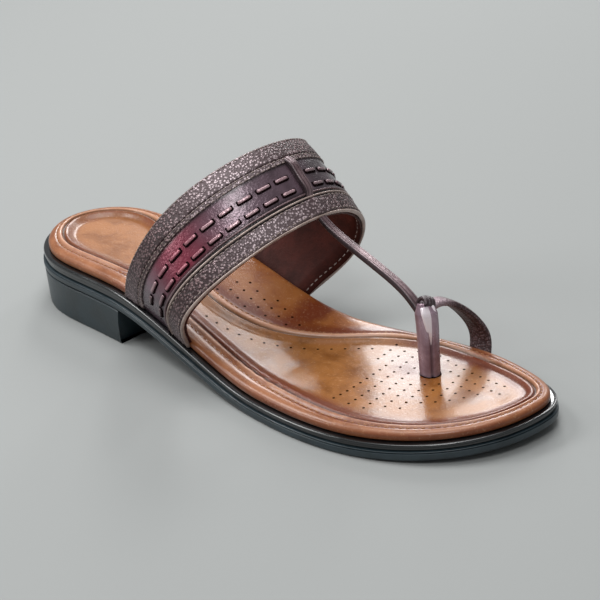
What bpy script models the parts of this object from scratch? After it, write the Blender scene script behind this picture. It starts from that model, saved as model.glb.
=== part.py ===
"""A flat leather sandal for the right foot: an instep band, a centre strap, a toe post and a toe ring
on a padded footbed, with a black midsole, outsole and block heel.

Lengths are in metres. While the pieces are modelled, X runs from the back of the heel to the toe,
+Y is the medial (big toe) side and Z = 0 is the floor. At the end the origin is moved to the middle
of the sandal's box, on the floor.
"""

import math
from collections import namedtuple

import bmesh
import bpy
import numpy as np
from mathutils import Vector

# Sole
SOLE_LENGTH = 0.270
BALL_WIDTH = 0.0904
HEEL_HEIGHT = 0.0175
HEEL_LENGTH = 0.0765
HEEL_BREAST_SKEW = 0.0030
HEEL_BREAST_SLOPE = 0.0030
HEEL_INSET = 0.0003
HEEL_TAPER = 0.0008
HEEL_BEVEL = 0.0009
TOE_SPRING = 0.0043
WAIST_START = 0.0665
TREAD_START = 0.1650
TREAD_END = 0.2000
OUTSOLE_HEEL_THICKNESS = 0.0032
OUTSOLE_THICKNESS = 0.0040
OUTSOLE_BEVEL = 0.0008
MIDSOLE_HEEL_THICKNESS = 0.0046
MIDSOLE_THICKNESS = 0.0027
MIDSOLE_INSET = 0.0005
MIDSOLE_WAIST = 0.0006

# Footbed
FOOTBED_INSET = 0.0032
RIM_HEIGHT = 0.0040
RIM_CREST = 0.0036
HEEL_BOWL_DEPTH = 0.0022
BOWL_DEPTH = 0.0013
GROOVE_DEPTH = 0.0011
GROOVE_HALF = 0.0007
BOWL_EDGE = 0.0062
BOWL_SHOULDER = 0.2
ARCH_RISE = 0.0030
ARCH_STATION = 0.420
ARCH_SPREAD = 0.090

# Upper
BAND_OVERHANG = 0.0010
INSTEP_RISE = 0.0670
PANEL_WALL = 0.0020
BORDER_STEP = 0.0009
BAND_CAMBER = 0.0016
DASH_LENGTH = 0.0060
DASH_WIDTH = 0.0022
DASH_PITCH = 0.0092
DASH_RISE = 0.0008
DASH_ROOT = 0.0006
DASH_END = 0.0110
TURN_IN_LENGTH = 0.0090
TURN_IN_THICKNESS = 0.0012
STRAP_WIDTH = 0.0048
STRAP_THICKNESS = 0.0030
POST_TOP_WIDTH = 0.0098
POST_FOOT_WIDTH = 0.0082
POST_THICKNESS = 0.0078
TOE_LOOP_HEIGHT = 0.0325
RING_WIDTH = 0.0105
RING_NECK = 0.0050
RING_THICKNESS = 0.0030
KNOT_SIZE = 0.0084

# Between pieces that touch
CLEARANCE = 0.0003

# How finely the curves are divided
SOLE_STATIONS = 36
GIRTH_STATIONS = 30
STRAP_SIDES = 12

# Sole outline. Station runs from the heel (0) to the toe (1) and crowds towards both ends.
# The edges are shares of the ball width, the grooves are insets as shares of the ball width.
OutlineRow = namedtuple("OutlineRow", "station medial lateral medial_groove lateral_groove")
OUTLINE = (
    OutlineRow(0.0, 0.016, 0.016, 0.085, 0.085),
    OutlineRow(0.1, 0.219, -0.190, 0.090, 0.105),
    OutlineRow(0.2, 0.345, -0.339, 0.100, 0.130),
    OutlineRow(0.3, 0.344, -0.378, 0.170, 0.145),
    OutlineRow(0.4, 0.312, -0.418, 0.375, 0.150),
    OutlineRow(0.5, 0.326, -0.472, 0.380, 0.145),
    OutlineRow(0.6, 0.404, -0.535, 0.137, 0.140),
    OutlineRow(0.7, 0.470, -0.513, 0.115, 0.120),
    OutlineRow(0.8, 0.418, -0.369, 0.105, 0.110),
    OutlineRow(0.9, 0.310, -0.139, 0.100, 0.105),
    OutlineRow(1.0, 0.145, 0.145, 0.100, 0.100),
)

# Sections of the band across the foot, from its lateral end (0) to its medial end (1).
# Rear and front edge lie off the straight line between the band's two ends: along and across as
# shares of sole length and ball width, up as a share of the instep rise.
GirthRow = namedtuple("GirthRow", "girth rear_along rear_across rear_up front_along front_across front_up")
BAND = (
    GirthRow(0.00, 0.000, 0.000, 0.000, 0.000, 0.000, 0.000),
    GirthRow(0.14, 0.046, -0.170, 0.304, 0.026, -0.193, 0.272),
    GirthRow(0.30, 0.103, -0.190, 0.700, 0.068, -0.162, 0.550),
    GirthRow(0.53, 0.174, 0.080, 1.010, 0.113, 0.186, 0.765),
    GirthRow(0.73, 0.128, 0.378, 0.764, 0.079, 0.415, 0.505),
    GirthRow(0.87, 0.057, 0.248, 0.382, 0.041, 0.312, 0.215),
    GirthRow(1.00, 0.000, 0.000, 0.000, 0.000, 0.000, 0.000),
)
# Where the band's ends meet the sole, as shares of sole length
BAND_END = {"lateral": (0.291, 0.450), "medial": (0.309, 0.475)}

# The band's outer face from its rear to its front edge: place as a share of the band's width,
# level as a share of the border step above the centre panel
ProfileRow = namedtuple("ProfileRow", "place level")
BAND_PROFILE = (
    ProfileRow(0.000, 0.10),
    ProfileRow(0.006, 0.80),
    ProfileRow(0.020, 1.00),
    ProfileRow(0.040, 0.90),
    ProfileRow(0.235, 0.92),
    ProfileRow(0.247, 0.62),
    ProfileRow(0.300, 0.62),
    ProfileRow(0.310, 0.00),
    ProfileRow(0.510, 0.05),
    ProfileRow(0.692, 0.00),
    ProfileRow(0.700, 0.70),
    ProfileRow(0.718, 0.95),
    ProfileRow(0.732, 0.25),
    ProfileRow(0.744, 1.00),
    ProfileRow(0.764, 1.10),
    ProfileRow(0.780, 0.85),
    ProfileRow(0.950, 0.90),
    ProfileRow(0.975, 1.15),
    ProfileRow(0.994, 0.90),
    ProfileRow(1.000, 0.20),
)
DASH_ROWS = (0.465, 0.628)

# The centre strap where it lies on the band: place across the band's width, girth, and the height
# of its middle above the border's level, as a share of the strap's thickness
OnBandRow = namedtuple("OnBandRow", "place girth lift")
STRAP_ON_BAND = (
    OnBandRow(0.265, 0.556, -0.40),
    OnBandRow(0.330, 0.554, 0.08),
    OnBandRow(0.420, 0.550, 0.13),
    OnBandRow(0.560, 0.544, 0.13),
    OnBandRow(0.670, 0.540, 0.08),
    OnBandRow(0.760, 0.537, -0.28),
    OnBandRow(0.880, 0.533, -0.34),
    OnBandRow(0.985, 0.530, -0.40),
)

# The toe straps' middle lines: along and across as shares of sole length and ball width, up as a
# share of the toe loop's height over the midsole, and the strap's width there as a share
ToeRow = namedtuple("ToeRow", "along across up width")
STRAP_IN_AIR = (
    ToeRow(0.6345, 0.149, 1.450, 1.00),
    ToeRow(0.6945, 0.145, 1.260, 1.00),
    ToeRow(0.7395, 0.145, 1.063, 1.05),
    ToeRow(0.768, 0.142, 0.860, 1.15),
)
TOE_POST = (
    ToeRow(0.7700, 0.147, 1.030, 0.55),
    ToeRow(0.7740, 0.143, 0.900, 1.00),
    ToeRow(0.7800, 0.131, 0.500, 0.94),
    ToeRow(0.7860, 0.116, 0.000, 0.84),
)
TOE_RING = (
    ToeRow(0.7745, 0.165, 0.935, 0.30),
    ToeRow(0.7690, 0.235, 0.920, 0.55),
    ToeRow(0.7670, 0.335, 0.795, 0.88),
    ToeRow(0.7780, 0.425, 0.530, 0.98),
    ToeRow(0.7900, 0.460, 0.240, 1.00),
)
RING_END = 0.797


# Curves worked out from the tables


def natural_spline(knots, values):
    """The natural cubic curve through values at the knots, as a function."""
    knots = np.asarray(knots, float)
    values = np.asarray(values, float)
    gaps = np.diff(knots)
    matrix = np.eye(len(knots))
    right = np.zeros(len(knots))
    for i in range(1, len(knots) - 1):
        matrix[i, i - 1 : i + 2] = gaps[i - 1], 2 * (gaps[i - 1] + gaps[i]), gaps[i]
        right[i] = 6 * ((values[i + 1] - values[i]) / gaps[i] - (values[i] - values[i - 1]) / gaps[i - 1])
    bends = np.linalg.solve(matrix, right)

    def value(x):
        i = int(np.clip(np.searchsorted(knots, x) - 1, 0, len(gaps) - 1))
        after = x - knots[i]
        before = knots[i + 1] - x
        cubic = (bends[i] * before**3 + bends[i + 1] * after**3) / (6 * gaps[i])
        start = (values[i] / gaps[i] - bends[i] * gaps[i] / 6) * before
        end = (values[i + 1] / gaps[i] - bends[i + 1] * gaps[i] / 6) * after
        return float(cubic + start + end)

    return value


def columns(table):
    """Each column of a table but its first, as a spline over the first one."""
    knots = [row[0] for row in table]
    names = table[0]._fields[1:]
    return {name: natural_spline(knots, [getattr(row, name) for row in table]) for name in names}


def blend(a, b, share):
    return a + (b - a) * share


def smooth_step(share):
    share = min(max(share, 0.0), 1.0)
    return share * share * (3 - 2 * share)


OUTLINE_CURVES = columns(OUTLINE)
BAND_CURVES = columns(BAND)


# Sole


def length_at(station):
    return SOLE_LENGTH * (1 - math.cos(math.pi * station)) / 2


def station_at(x):
    return math.acos(min(max(1 - 2 * x / SOLE_LENGTH, -1), 1)) / math.pi


def outline_point(side, station, inset=0.0):
    """A point of the sole's outline, moved in by inset at right angles to the edge."""
    edge = OUTLINE_CURVES[side]
    step = 1e-4
    low, high = max(station - step, 0.0), min(station + step, 1.0)
    run = SOLE_LENGTH * math.pi * math.sin(math.pi * station) / 2
    rise = BALL_WIDTH * (edge(high) - edge(low)) / (high - low)
    turn = 1 if side == "medial" else -1
    outward = Vector((-rise * turn, run * turn)).normalized()
    return Vector((length_at(station), BALL_WIDTH * edge(station))) - inset * outward


def outline_across(side, x, inset):
    """How far across the outline, moved in by inset, lies at the length x."""
    station = station_at(x)
    for _ in range(3):
        station = min(max(station + station_at(x) - station_at(outline_point(side, station, inset).x), 0.0), 1.0)
    return outline_point(side, station, inset).y


def underside(x):
    """Height of the outsole's underside: level over the heel, down to the tread, up at the toe."""
    drop = smooth_step((x - WAIST_START) / (TREAD_START - WAIST_START))
    spring = max((x - TREAD_END) / (SOLE_LENGTH - TREAD_END), 0.0)
    return HEEL_HEIGHT * (1 - drop) + TOE_SPRING * spring**2


def along_sole(x, at_heel, at_ball):
    """A size that changes smoothly through the waist, from its value at the heel to that at the ball."""
    return blend(at_heel, at_ball, smooth_step((x - WAIST_START) / (TREAD_START - WAIST_START)))


def outsole_height(x, share):
    """Height of a level of the outsole, from its underside (0) to its top (1)."""
    return underside(x) + share * along_sole(x, OUTSOLE_HEEL_THICKNESS, OUTSOLE_THICKNESS)


def midsole_height(x, share):
    thickness = along_sole(x, MIDSOLE_HEEL_THICKNESS, MIDSOLE_THICKNESS)
    return outsole_height(x, 1) + CLEARANCE + share * thickness


def strap_inset():
    """How far the outer face of the band and of the toe ring lies in from the outline, at the joint."""
    return FOOTBED_INSET - BAND_OVERHANG


def deck(x):
    """Height of the joint on top of the midsole, where the footbed and the strap ends sit."""
    return midsole_height(x, 1) + CLEARANCE


def arch_lift(station):
    return ARCH_RISE * math.exp(-(((station - ARCH_STATION) / ARCH_SPREAD) ** 2))


# Meshes


def make_object(name, bm, collection, colour=None, roughness=0.5):
    """An object from the mesh. One without a colour is a helper that only cuts or joins."""
    bmesh.ops.remove_doubles(bm, verts=bm.verts, dist=1e-6)
    bmesh.ops.recalc_face_normals(bm, faces=bm.faces)
    mesh = bpy.data.meshes.new(name)
    bm.to_mesh(mesh)
    bm.free()
    mesh.shade_smooth()
    mesh.set_sharp_from_angle(angle=math.radians(35))
    made = bpy.data.objects.new(name, mesh)
    collection.objects.link(made)
    if colour is None:
        made.hide_render = True
        made.display_type = "WIRE"
    else:
        material = bpy.data.materials.new(name)
        material.use_nodes = True
        shader = material.node_tree.nodes["Principled BSDF"]
        shader.inputs["Base Color"].default_value = (*colour, 1)
        shader.inputs["Roughness"].default_value = roughness
        mesh.materials.append(material)
    return made


def skin(bm, rings, closed=True):
    """Faces between rings of points, one after another. Returns the rings as vertices."""
    rows = [[bm.verts.new(point) for point in ring] for ring in rings]
    count = len(rows[0])
    for low, high in zip(rows, rows[1:]):
        for i in range(count if closed else count - 1):
            j = (i + 1) % count
            bm.faces.new((low[i], low[j], high[j], high[i]))
    return rows


def cap_across(bm, row):
    """Closes a ring that runs out along one side and back along the other, with strips across."""
    count = len(row)
    half = count // 2
    for i in range(half):
        strip = (row[i], row[i + 1], row[count - i - 1], row[(count - i) % count])
        corners = list(dict.fromkeys(strip))
        bm.faces.new(corners)


def sole_ring(place, height):
    """A ring round the sole. place(side, station) gives a point across, height(side, station, point) its Z."""
    ring = []
    for i in range(2 * SOLE_STATIONS):
        there = i <= SOLE_STATIONS
        side = "medial" if there else "lateral"
        station = i / SOLE_STATIONS if there else 2 - i / SOLE_STATIONS
        point = place(side, station)
        ring.append(Vector((point.x, point.y, height(side, station, point))))
    return ring


def stacked_layer(name, collection, levels, height, colour, roughness):
    """A layer of the sole from rows of (inset, share of its height), bottom to top."""
    rings = []
    for inset, share in levels:
        place = lambda side, station: outline_point(side, station, inset)
        rings.append(sole_ring(place, lambda side, station, point: height(point.x, share)))
    bm = bmesh.new()
    rows = skin(bm, rings)
    cap_across(bm, rows[0])
    cap_across(bm, rows[-1])
    return make_object(name, bm, collection, colour, roughness)


def make_outsole(collection):
    levels = (
        (OUTSOLE_BEVEL, 0.0),
        (OUTSOLE_BEVEL * 0.2, 0.14),
        (0.0, 0.35),
        (0.0, 0.82),
        (OUTSOLE_BEVEL * 0.8, 1.0),
    )
    return stacked_layer("outsole", collection, levels, outsole_height, (0.012, 0.016, 0.018), 0.42)


def make_midsole(collection):
    wall = MIDSOLE_INSET + MIDSOLE_WAIST
    levels = (
        (wall + OUTSOLE_BEVEL, 0.0),
        (wall, 0.12),
        (wall, 0.38),
        (MIDSOLE_INSET + MIDSOLE_WAIST * 0.2, 0.52),
        (MIDSOLE_INSET, 0.72),
        (MIDSOLE_INSET + MIDSOLE_WAIST * 0.5, 0.92),
        (MIDSOLE_INSET + MIDSOLE_WAIST * 2.0, 1.0),
    )
    return stacked_layer("midsole", collection, levels, midsole_height, (0.006, 0.007, 0.008), 0.28)


def make_heel(collection):
    """The block under the heel: the sole's outline cut off at a slanted breast, narrowing downwards."""
    ends = {"lateral": HEEL_LENGTH - HEEL_BREAST_SKEW / 2, "medial": HEEL_LENGTH + HEEL_BREAST_SKEW / 2}
    top = lambda x: underside(x) - CLEARANCE
    levels = (
        (HEEL_INSET + HEEL_TAPER + HEEL_BEVEL, HEEL_BREAST_SLOPE + HEEL_BEVEL, lambda x: 0.0),
        (HEEL_INSET + HEEL_TAPER, HEEL_BREAST_SLOPE, lambda x: HEEL_BEVEL),
        (HEEL_INSET + HEEL_BEVEL * 0.2, 0.0, lambda x: top(x) - HEEL_BEVEL * 0.5),
        (HEEL_INSET + HEEL_BEVEL * 0.6, HEEL_BEVEL * 0.2, top),
    )
    half = SOLE_STATIONS // 2
    rings = []
    for inset, breast_in, height in levels:
        ring = []
        for i in range(2 * half + 1):
            side = "lateral" if i < half else "medial"
            share = abs(i - half) / half
            point = outline_point(side, station_at(ends[side]) * share, inset)
            if share == 1.0:
                length = ends[side] - breast_in
                point = Vector((length, outline_across(side, length, inset)))
            ring.append(Vector((point.x, point.y, height(point.x))))
        rings.append(ring)
    bm = bmesh.new()
    rows = skin(bm, rings)
    for row in (rows[0], rows[-1]):
        for i in range(half):
            strip = (row[i], row[i + 1], row[2 * half - i - 1], row[2 * half - i])
            bm.faces.new(list(dict.fromkeys(strip)))
    return make_object("heel", bm, collection, (0.010, 0.013, 0.015), 0.40)


# Footbed


def groove_inset(side, station):
    return BALL_WIDTH * OUTLINE_CURVES[side + "_groove"](station)


def rim_point(side, station, share):
    """Between the rim's crest (0) and the middle of the groove (1)."""
    crest = FOOTBED_INSET + RIM_CREST
    return outline_point(side, station, blend(crest, groove_inset(side, station), share))


def make_footbed(collection):
    """A padded footbed: a rolled rim, a groove, a shallow bowl and a raised wing under the arch."""

    def edge(inset, share):
        def height(side, station, point):
            lift = arch_lift(station) if side == "medial" else 0.0
            return deck(point.x) + (RIM_HEIGHT + lift) * share

        return sole_ring(lambda side, station: outline_point(side, station, inset), height)

    def rim(share, drop):
        def height(side, station, point):
            lift = arch_lift(station) if side == "medial" else 0.0
            return deck(point.x) + RIM_HEIGHT + lift * (1 - share) ** 1.4 - drop

        return sole_ring(lambda side, station: rim_point(side, station, share), height)

    def groove(offset, drop):
        def place(side, station):
            return outline_point(side, station, groove_inset(side, station) + offset)

        return sole_ring(place, lambda side, station, point: deck(point.x) + RIM_HEIGHT - drop)

    def bowl(share):
        def place(side, station):
            return outline_point(side, station, groove_inset(side, station) + BOWL_EDGE * share)

        def height(side, station, point):
            bottom = along_sole(point.x, HEEL_BOWL_DEPTH, BOWL_DEPTH)
            slope = smooth_step((share - BOWL_SHOULDER) / (1 - BOWL_SHOULDER))
            return deck(point.x) + RIM_HEIGHT - blend(0.3 * GROOVE_DEPTH, bottom, slope)

        return sole_ring(place, height)

    rings = [
        edge(FOOTBED_INSET + 0.1 * RIM_CREST, 0.0),
        edge(FOOTBED_INSET, 0.10),
        edge(FOOTBED_INSET, 0.45),
        edge(FOOTBED_INSET + 0.10 * RIM_CREST, 0.72),
        edge(FOOTBED_INSET + 0.42 * RIM_CREST, 0.93),
        edge(FOOTBED_INSET + RIM_CREST, 1.0),
        rim(0.3, 0.0),
        rim(0.6, 0.1 * GROOVE_DEPTH),
        groove(-GROOVE_HALF, 0.3 * GROOVE_DEPTH),
        groove(0.0, GROOVE_DEPTH),
        groove(GROOVE_HALF, 0.5 * GROOVE_DEPTH),
        bowl(BOWL_SHOULDER),
        bowl(0.45),
        bowl(0.7),
        bowl(1.0),
    ]
    bm = bmesh.new()
    rows = skin(bm, rings)
    cap_across(bm, rows[0])
    cap_across(bm, rows[-1])
    return make_object("footbed", bm, collection, (0.36, 0.15, 0.055), 0.30)


# Upper


def band_end_point(side, place):
    rear, front = BAND_END[side]
    x = SOLE_LENGTH * blend(rear, front, place)
    return Vector((x, outline_across(side, x, strap_inset()), deck(x)))


def band_middle(girth, place):
    """The band's outer face without its camber: the line between its ends plus the offsets of its edges."""
    chord = band_end_point("lateral", place).lerp(band_end_point("medial", place), girth)
    sizes = (("along", SOLE_LENGTH), ("across", BALL_WIDTH), ("up", INSTEP_RISE))
    offset = [
        size * blend(BAND_CURVES["rear_" + name](girth), BAND_CURVES["front_" + name](girth), place)
        for name, size in sizes
    ]
    return chord + Vector(offset)


def band_normal(girth, place):
    """Straight out from the band, level at its two ends."""
    step = 0.01
    along = band_middle(girth, place + step) - band_middle(girth, place - step)
    low, high = max(girth - step, 0.0), min(girth + step, 1.0)
    across = band_middle(high, place) - band_middle(low, place)
    normal = along.cross(across).normalized()
    near_end = 1 - smooth_step(min(girth, 1 - girth) / 0.06)
    normal.z *= 1 - near_end
    return normal.normalized()


def band_point(girth, place, level):
    """A point of the band: girth across the foot, place from rear to front, level out from the border's top."""
    normal = band_normal(girth, place)
    camber = BAND_CAMBER * 4 * place * (1 - place) * math.sin(math.pi * girth)
    point = band_middle(girth, place) + normal * (camber + level)
    if girth in (0.0, 1.0):
        point.z = deck(point.x)
    return point


def band_bmesh(grow=0.0, below=0.0):
    """The band's wall as a closed mesh. grow thickens it all round and below lengthens its ends downwards."""
    lining = -(PANEL_WALL + BORDER_STEP) - grow
    section = [(row.place, BORDER_STEP * (row.level - 1) + grow) for row in BAND_PROFILE]
    section += [(0.994, lining + 0.3 * BORDER_STEP), (0.97, lining)]
    section += [(place, lining) for place in (0.75, 0.5, 0.25, 0.03)]
    section += [(0.006, lining + 0.3 * BORDER_STEP)]
    rings = []
    for i in range(GIRTH_STATIONS + 1):
        girth = i / GIRTH_STATIONS
        ring = [band_point(girth, place, level) for place, level in section]
        if grow:
            middle = (band_point(girth, 0.0, -PANEL_WALL / 2), band_point(girth, 1.0, -PANEL_WALL / 2))
            forward = (middle[1] - middle[0]).normalized()
            for k, (place, _) in enumerate(section):
                ring[k] += forward * grow * (2 * place - 1)
        rings.append(ring)
    if below:
        rings.insert(0, [point - Vector((0, 0, below)) for point in rings[0]])
        rings.append([point - Vector((0, 0, below)) for point in rings[-1]])
    bm = bmesh.new()
    rows = skin(bm, rings)
    bm.faces.new(rows[0])
    bm.faces.new(rows[-1])
    bmesh.ops.triangulate(bm, faces=[face for face in bm.faces if len(face.verts) > 4])
    return bm


def strap_girth(place):
    """Where the centre strap crosses this place of the band."""
    return float(np.interp(place, [row.place for row in STRAP_ON_BAND], [row.girth for row in STRAP_ON_BAND]))


def dash_middles(length, crossing):
    """Distances along a row at which its strips lie: evenly out from the strap on both sides of it."""
    first = STRAP_WIDTH / 2 + DASH_PITCH - DASH_LENGTH / 2
    for direction in (-1, 1):
        room = crossing if direction < 0 else length - crossing
        count = int((room - first - DASH_END) / DASH_PITCH) + 1
        for n in range(count):
            yield crossing + direction * (first + n * DASH_PITCH)


def dash_bmesh():
    """Two rows of short raised strips along the centre panel, spaced by their pitch."""
    bm = bmesh.new()
    floor = -BORDER_STEP - DASH_ROOT
    top = -BORDER_STEP + DASH_RISE
    girths = np.linspace(0.0, 1.0, 201)
    for place in DASH_ROWS:
        line = [band_point(float(girth), place, -BORDER_STEP) for girth in girths]
        runs = np.concatenate([[0.0], np.cumsum([(b - a).length for a, b in zip(line, line[1:])])])
        width = (band_point(0.5, 1.0, 0.0) - band_point(0.5, 0.0, 0.0)).length
        half_place = DASH_WIDTH / 2 / width
        crossing = float(np.interp(strap_girth(place), girths, runs))
        for middle in dash_middles(runs[-1], crossing):
            rings = []
            for shift, shrink in ((-0.5, 0.55), (-0.36, 1.0), (0.36, 1.0), (0.5, 0.55)):
                girth = float(np.interp(middle + shift * DASH_LENGTH, runs, girths))
                height = blend(-BORDER_STEP, top, shrink)
                rings.append([
                    band_point(girth, place - half_place * shrink, floor),
                    band_point(girth, place - half_place * 0.8 * shrink, height),
                    band_point(girth, place + half_place * 0.8 * shrink, height),
                    band_point(girth, place + half_place * shrink, floor),
                ])
            rows = skin(bm, rings)
            bm.faces.new(rows[0])
            bm.faces.new(rows[-1])
    return bm


def turn_in_bmesh(side, grow=0.0):
    """The end of the band turned in under the footbed: a flat tab between its rear and front edge."""
    inner = -1 if side == "medial" else 1
    wall = PANEL_WALL + BORDER_STEP
    rings = []
    for k in range(7):
        place = blend(0.03, 0.97, k / 6)
        end = band_end_point(side, place)
        end.x += grow * (2 * place - 1)
        outer = end.y + inner * (wall * 0.4 - grow)
        inside = end.y + inner * (wall + TURN_IN_LENGTH + grow)
        low = deck(end.x) + CLEARANCE - (grow and CLEARANCE + grow)
        high = deck(end.x) + CLEARANCE + TURN_IN_THICKNESS + grow
        corners = ((outer, low), (outer, high), (inside, high), (inside, low))
        rings.append([Vector((end.x, y, z)) for y, z in corners])
    bm = bmesh.new()
    rows = skin(bm, rings)
    bm.faces.new(rows[0])
    bm.faces.new(rows[-1])
    return bm


def rounded_section(width, thickness, sides):
    """Points of a flattened oval, as pairs across and out."""
    points = []
    for k in range(sides):
        angle = 2 * math.pi * (k + 0.5) / sides
        across = math.copysign(abs(math.cos(angle)) ** 0.7, math.cos(angle))
        out = math.copysign(abs(math.sin(angle)) ** 0.7, math.sin(angle))
        points.append((across * width / 2, out * thickness / 2))
    return points


def swept_bmesh(points, widths, thicknesses, hint, steps, on_deck=False, below=0.0):
    """A strap along a smooth line through the points. hint is roughly the direction of its width.
    A strap that ends on the deck is cut level with it, or lengthened straight down from there."""
    runs = np.concatenate([[0.0], np.cumsum([(b - a).length for a, b in zip(points, points[1:])])])
    curves = [natural_spline(runs, [point[axis] for point in points]) for axis in range(3)]
    rings = []
    for i in range(steps + 1):
        run = runs[-1] * i / steps
        low, high = max(run - 1e-4, 0.0), min(run + 1e-4, runs[-1])
        centre = Vector([curve(run) for curve in curves])
        ahead = Vector([curve(high) - curve(low) for curve in curves]).normalized()
        side = (hint - ahead * hint.dot(ahead)).normalized()
        out = ahead.cross(side)
        width = float(np.interp(run, runs, widths))
        thickness = float(np.interp(run, runs, thicknesses))
        section = rounded_section(width, thickness, STRAP_SIDES)
        rings.append([centre + side * across + out * up for across, up in section])
    if on_deck:
        for point in rings[-1]:
            point.z = deck(point.x)
    if below:
        rings.append([point - Vector((0, 0, below)) for point in rings[-1]])
    bm = bmesh.new()
    rows = skin(bm, rings)
    bm.faces.new(rows[0])
    bm.faces.new(rows[-1])
    return bm


def toe_point(row):
    x = SOLE_LENGTH * row.along
    return Vector((x, BALL_WIDTH * row.across, deck(x) + TOE_LOOP_HEIGHT * row.up))


def strap_bmesh():
    points = [band_point(row.girth, row.place, STRAP_THICKNESS * row.lift) for row in STRAP_ON_BAND]
    points += [toe_point(row) for row in STRAP_IN_AIR]
    widths = [STRAP_WIDTH] * len(STRAP_ON_BAND) + [STRAP_WIDTH * row.width for row in STRAP_IN_AIR]
    return swept_bmesh(points, widths, [STRAP_THICKNESS] * len(points), Vector((0, 1, 0)), 34)


def post_bmesh(grow=0.0, below=0.0):
    points = [toe_point(row) for row in TOE_POST]
    widths = [POST_TOP_WIDTH * row.width + 2 * grow for row in TOE_POST]
    widths[-1] = POST_FOOT_WIDTH + 2 * grow
    thicknesses = [POST_THICKNESS * 0.75 + 2 * grow] + [POST_THICKNESS + 2 * grow] * (len(points) - 1)
    return swept_bmesh(points, widths, thicknesses, Vector((1, 0, 0)), 8, True, below)


def ring_bmesh(grow=0.0, below=0.0):
    """The toe ring: from the knot over the big toe's place and down to the medial edge of the sole."""
    x = SOLE_LENGTH * RING_END
    across = outline_across("medial", x, strap_inset()) - RING_THICKNESS / 2
    end = Vector((x, across, deck(x)))
    points = [toe_point(row) for row in TOE_RING] + [end]
    widths = [blend(RING_NECK, RING_WIDTH, row.width) + 2 * grow for row in TOE_RING]
    widths.append(RING_WIDTH + 2 * grow)
    thicknesses = [RING_THICKNESS + 2 * grow] * len(points)
    return swept_bmesh(points, widths, thicknesses, Vector((1, 0, 0)), 18, True, below)


def ring_turn_in_bmesh(grow=0.0):
    """The end of the toe ring turned in under the footbed."""
    x = SOLE_LENGTH * RING_END
    outer = outline_across("medial", x, strap_inset()) - 0.4 * RING_THICKNESS + grow
    inside = outer - RING_THICKNESS - TURN_IN_LENGTH - 2 * grow
    half = 0.42 * RING_WIDTH + grow
    bm = bmesh.new()
    rings = []
    for y in (outer, inside):
        ring = []
        for length, top in ((x - half, False), (x - half, True), (x + half, True), (x + half, False)):
            low = deck(length) + CLEARANCE - (grow and CLEARANCE + grow)
            high = deck(length) + CLEARANCE + TURN_IN_THICKNESS + grow
            ring.append(Vector((length, y, high if top else low)))
        rings.append(ring)
    rows = skin(bm, rings)
    bm.faces.new(rows[0])
    bm.faces.new(rows[-1])
    return bm


def knot_bmesh():
    """The small wrap that holds the toe ring to the top of the post."""
    bm = bmesh.new()
    bmesh.ops.create_uvsphere(bm, u_segments=12, v_segments=8, radius=KNOT_SIZE / 2)
    centre = toe_point(TOE_POST[0]).lerp(toe_point(TOE_RING[0]), 0.5)
    for vertex in bm.verts:
        shape = Vector((vertex.co.x * 0.95, vertex.co.y, vertex.co.z * 0.72))
        vertex.co = centre + shape
    return bm


def add_boolean(target, other, operation):
    modifier = target.modifiers.new(operation.title() + " " + other.name, "BOOLEAN")
    modifier.operation = operation
    modifier.solver = "EXACT"
    modifier.object = other


def make_upper(collection, cutters):
    """Band, centre strap, toe post and toe ring, joined where they cross."""
    upper = make_object("upper", band_bmesh(), collection, (0.085, 0.040, 0.040), 0.35)
    pieces = {
        "woven strips": dash_bmesh(),
        "lateral turn in": turn_in_bmesh("lateral"),
        "medial turn in": turn_in_bmesh("medial"),
        "centre strap": strap_bmesh(),
        "toe post": post_bmesh(),
        "toe ring": ring_bmesh(),
        "ring turn in": ring_turn_in_bmesh(),
        "knot": knot_bmesh(),
    }
    for name, bm in pieces.items():
        add_boolean(upper, make_object(name, bm, cutters), "UNION")
    return upper


def seat_straps(footbed, cutters):
    """Room in the footbed for each strap end, a clearance larger than the strap."""
    room = {
        "room for the band": band_bmesh(CLEARANCE, 4 * CLEARANCE),
        "room for the lateral turn in": turn_in_bmesh("lateral", CLEARANCE),
        "room for the medial turn in": turn_in_bmesh("medial", CLEARANCE),
        "room for the toe post": post_bmesh(CLEARANCE, 4 * CLEARANCE),
        "room for the toe ring": ring_bmesh(CLEARANCE, 4 * CLEARANCE),
        "room for the ring turn in": ring_turn_in_bmesh(CLEARANCE),
    }
    for name, bm in room.items():
        add_boolean(footbed, make_object(name, bm, cutters), "DIFFERENCE")


# Assembly


def clear_scene():
    for old in list(bpy.data.objects):
        bpy.data.objects.remove(old, do_unlink=True)


def new_collection(name):
    made = bpy.data.collections.new(name)
    bpy.context.scene.collection.children.link(made)
    return made


def centre_on_floor(nodes, helpers):
    """Moves the sandal so that the origin is under the middle of its box."""
    bpy.context.view_layer.update()
    graph = bpy.context.evaluated_depsgraph_get()
    corners = [Vector(corner) for node in nodes for corner in node.evaluated_get(graph).bound_box]
    root = bpy.data.objects.new("sandal", None)
    nodes[0].users_collection[0].objects.link(root)
    for axis in (0, 1):
        values = [corner[axis] for corner in corners]
        root.location[axis] = -(min(values) + max(values)) / 2
    for part in nodes + helpers:
        part.parent = root


def main():
    clear_scene()
    collection = new_collection("flat sandal")
    cutters = new_collection("cutters")
    footbed = make_footbed(collection)
    upper = make_upper(collection, cutters)
    seat_straps(footbed, cutters)
    nodes = [make_outsole(collection), make_midsole(collection), make_heel(collection), footbed, upper]
    centre_on_floor(nodes, list(cutters.objects))


main()
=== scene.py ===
"""Looks of the flat toe ring sandal: detailed footbed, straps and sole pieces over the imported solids,
with their materials, a pale floor, soft studio light and the camera.

Lengths are in metres. The pieces are worked out in the maker's frame: X from the back of the heel to
the toe, +Y the big toe's side, Z = 0 the floor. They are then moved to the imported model's frame.
"""

import math
from collections import namedtuple

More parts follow.
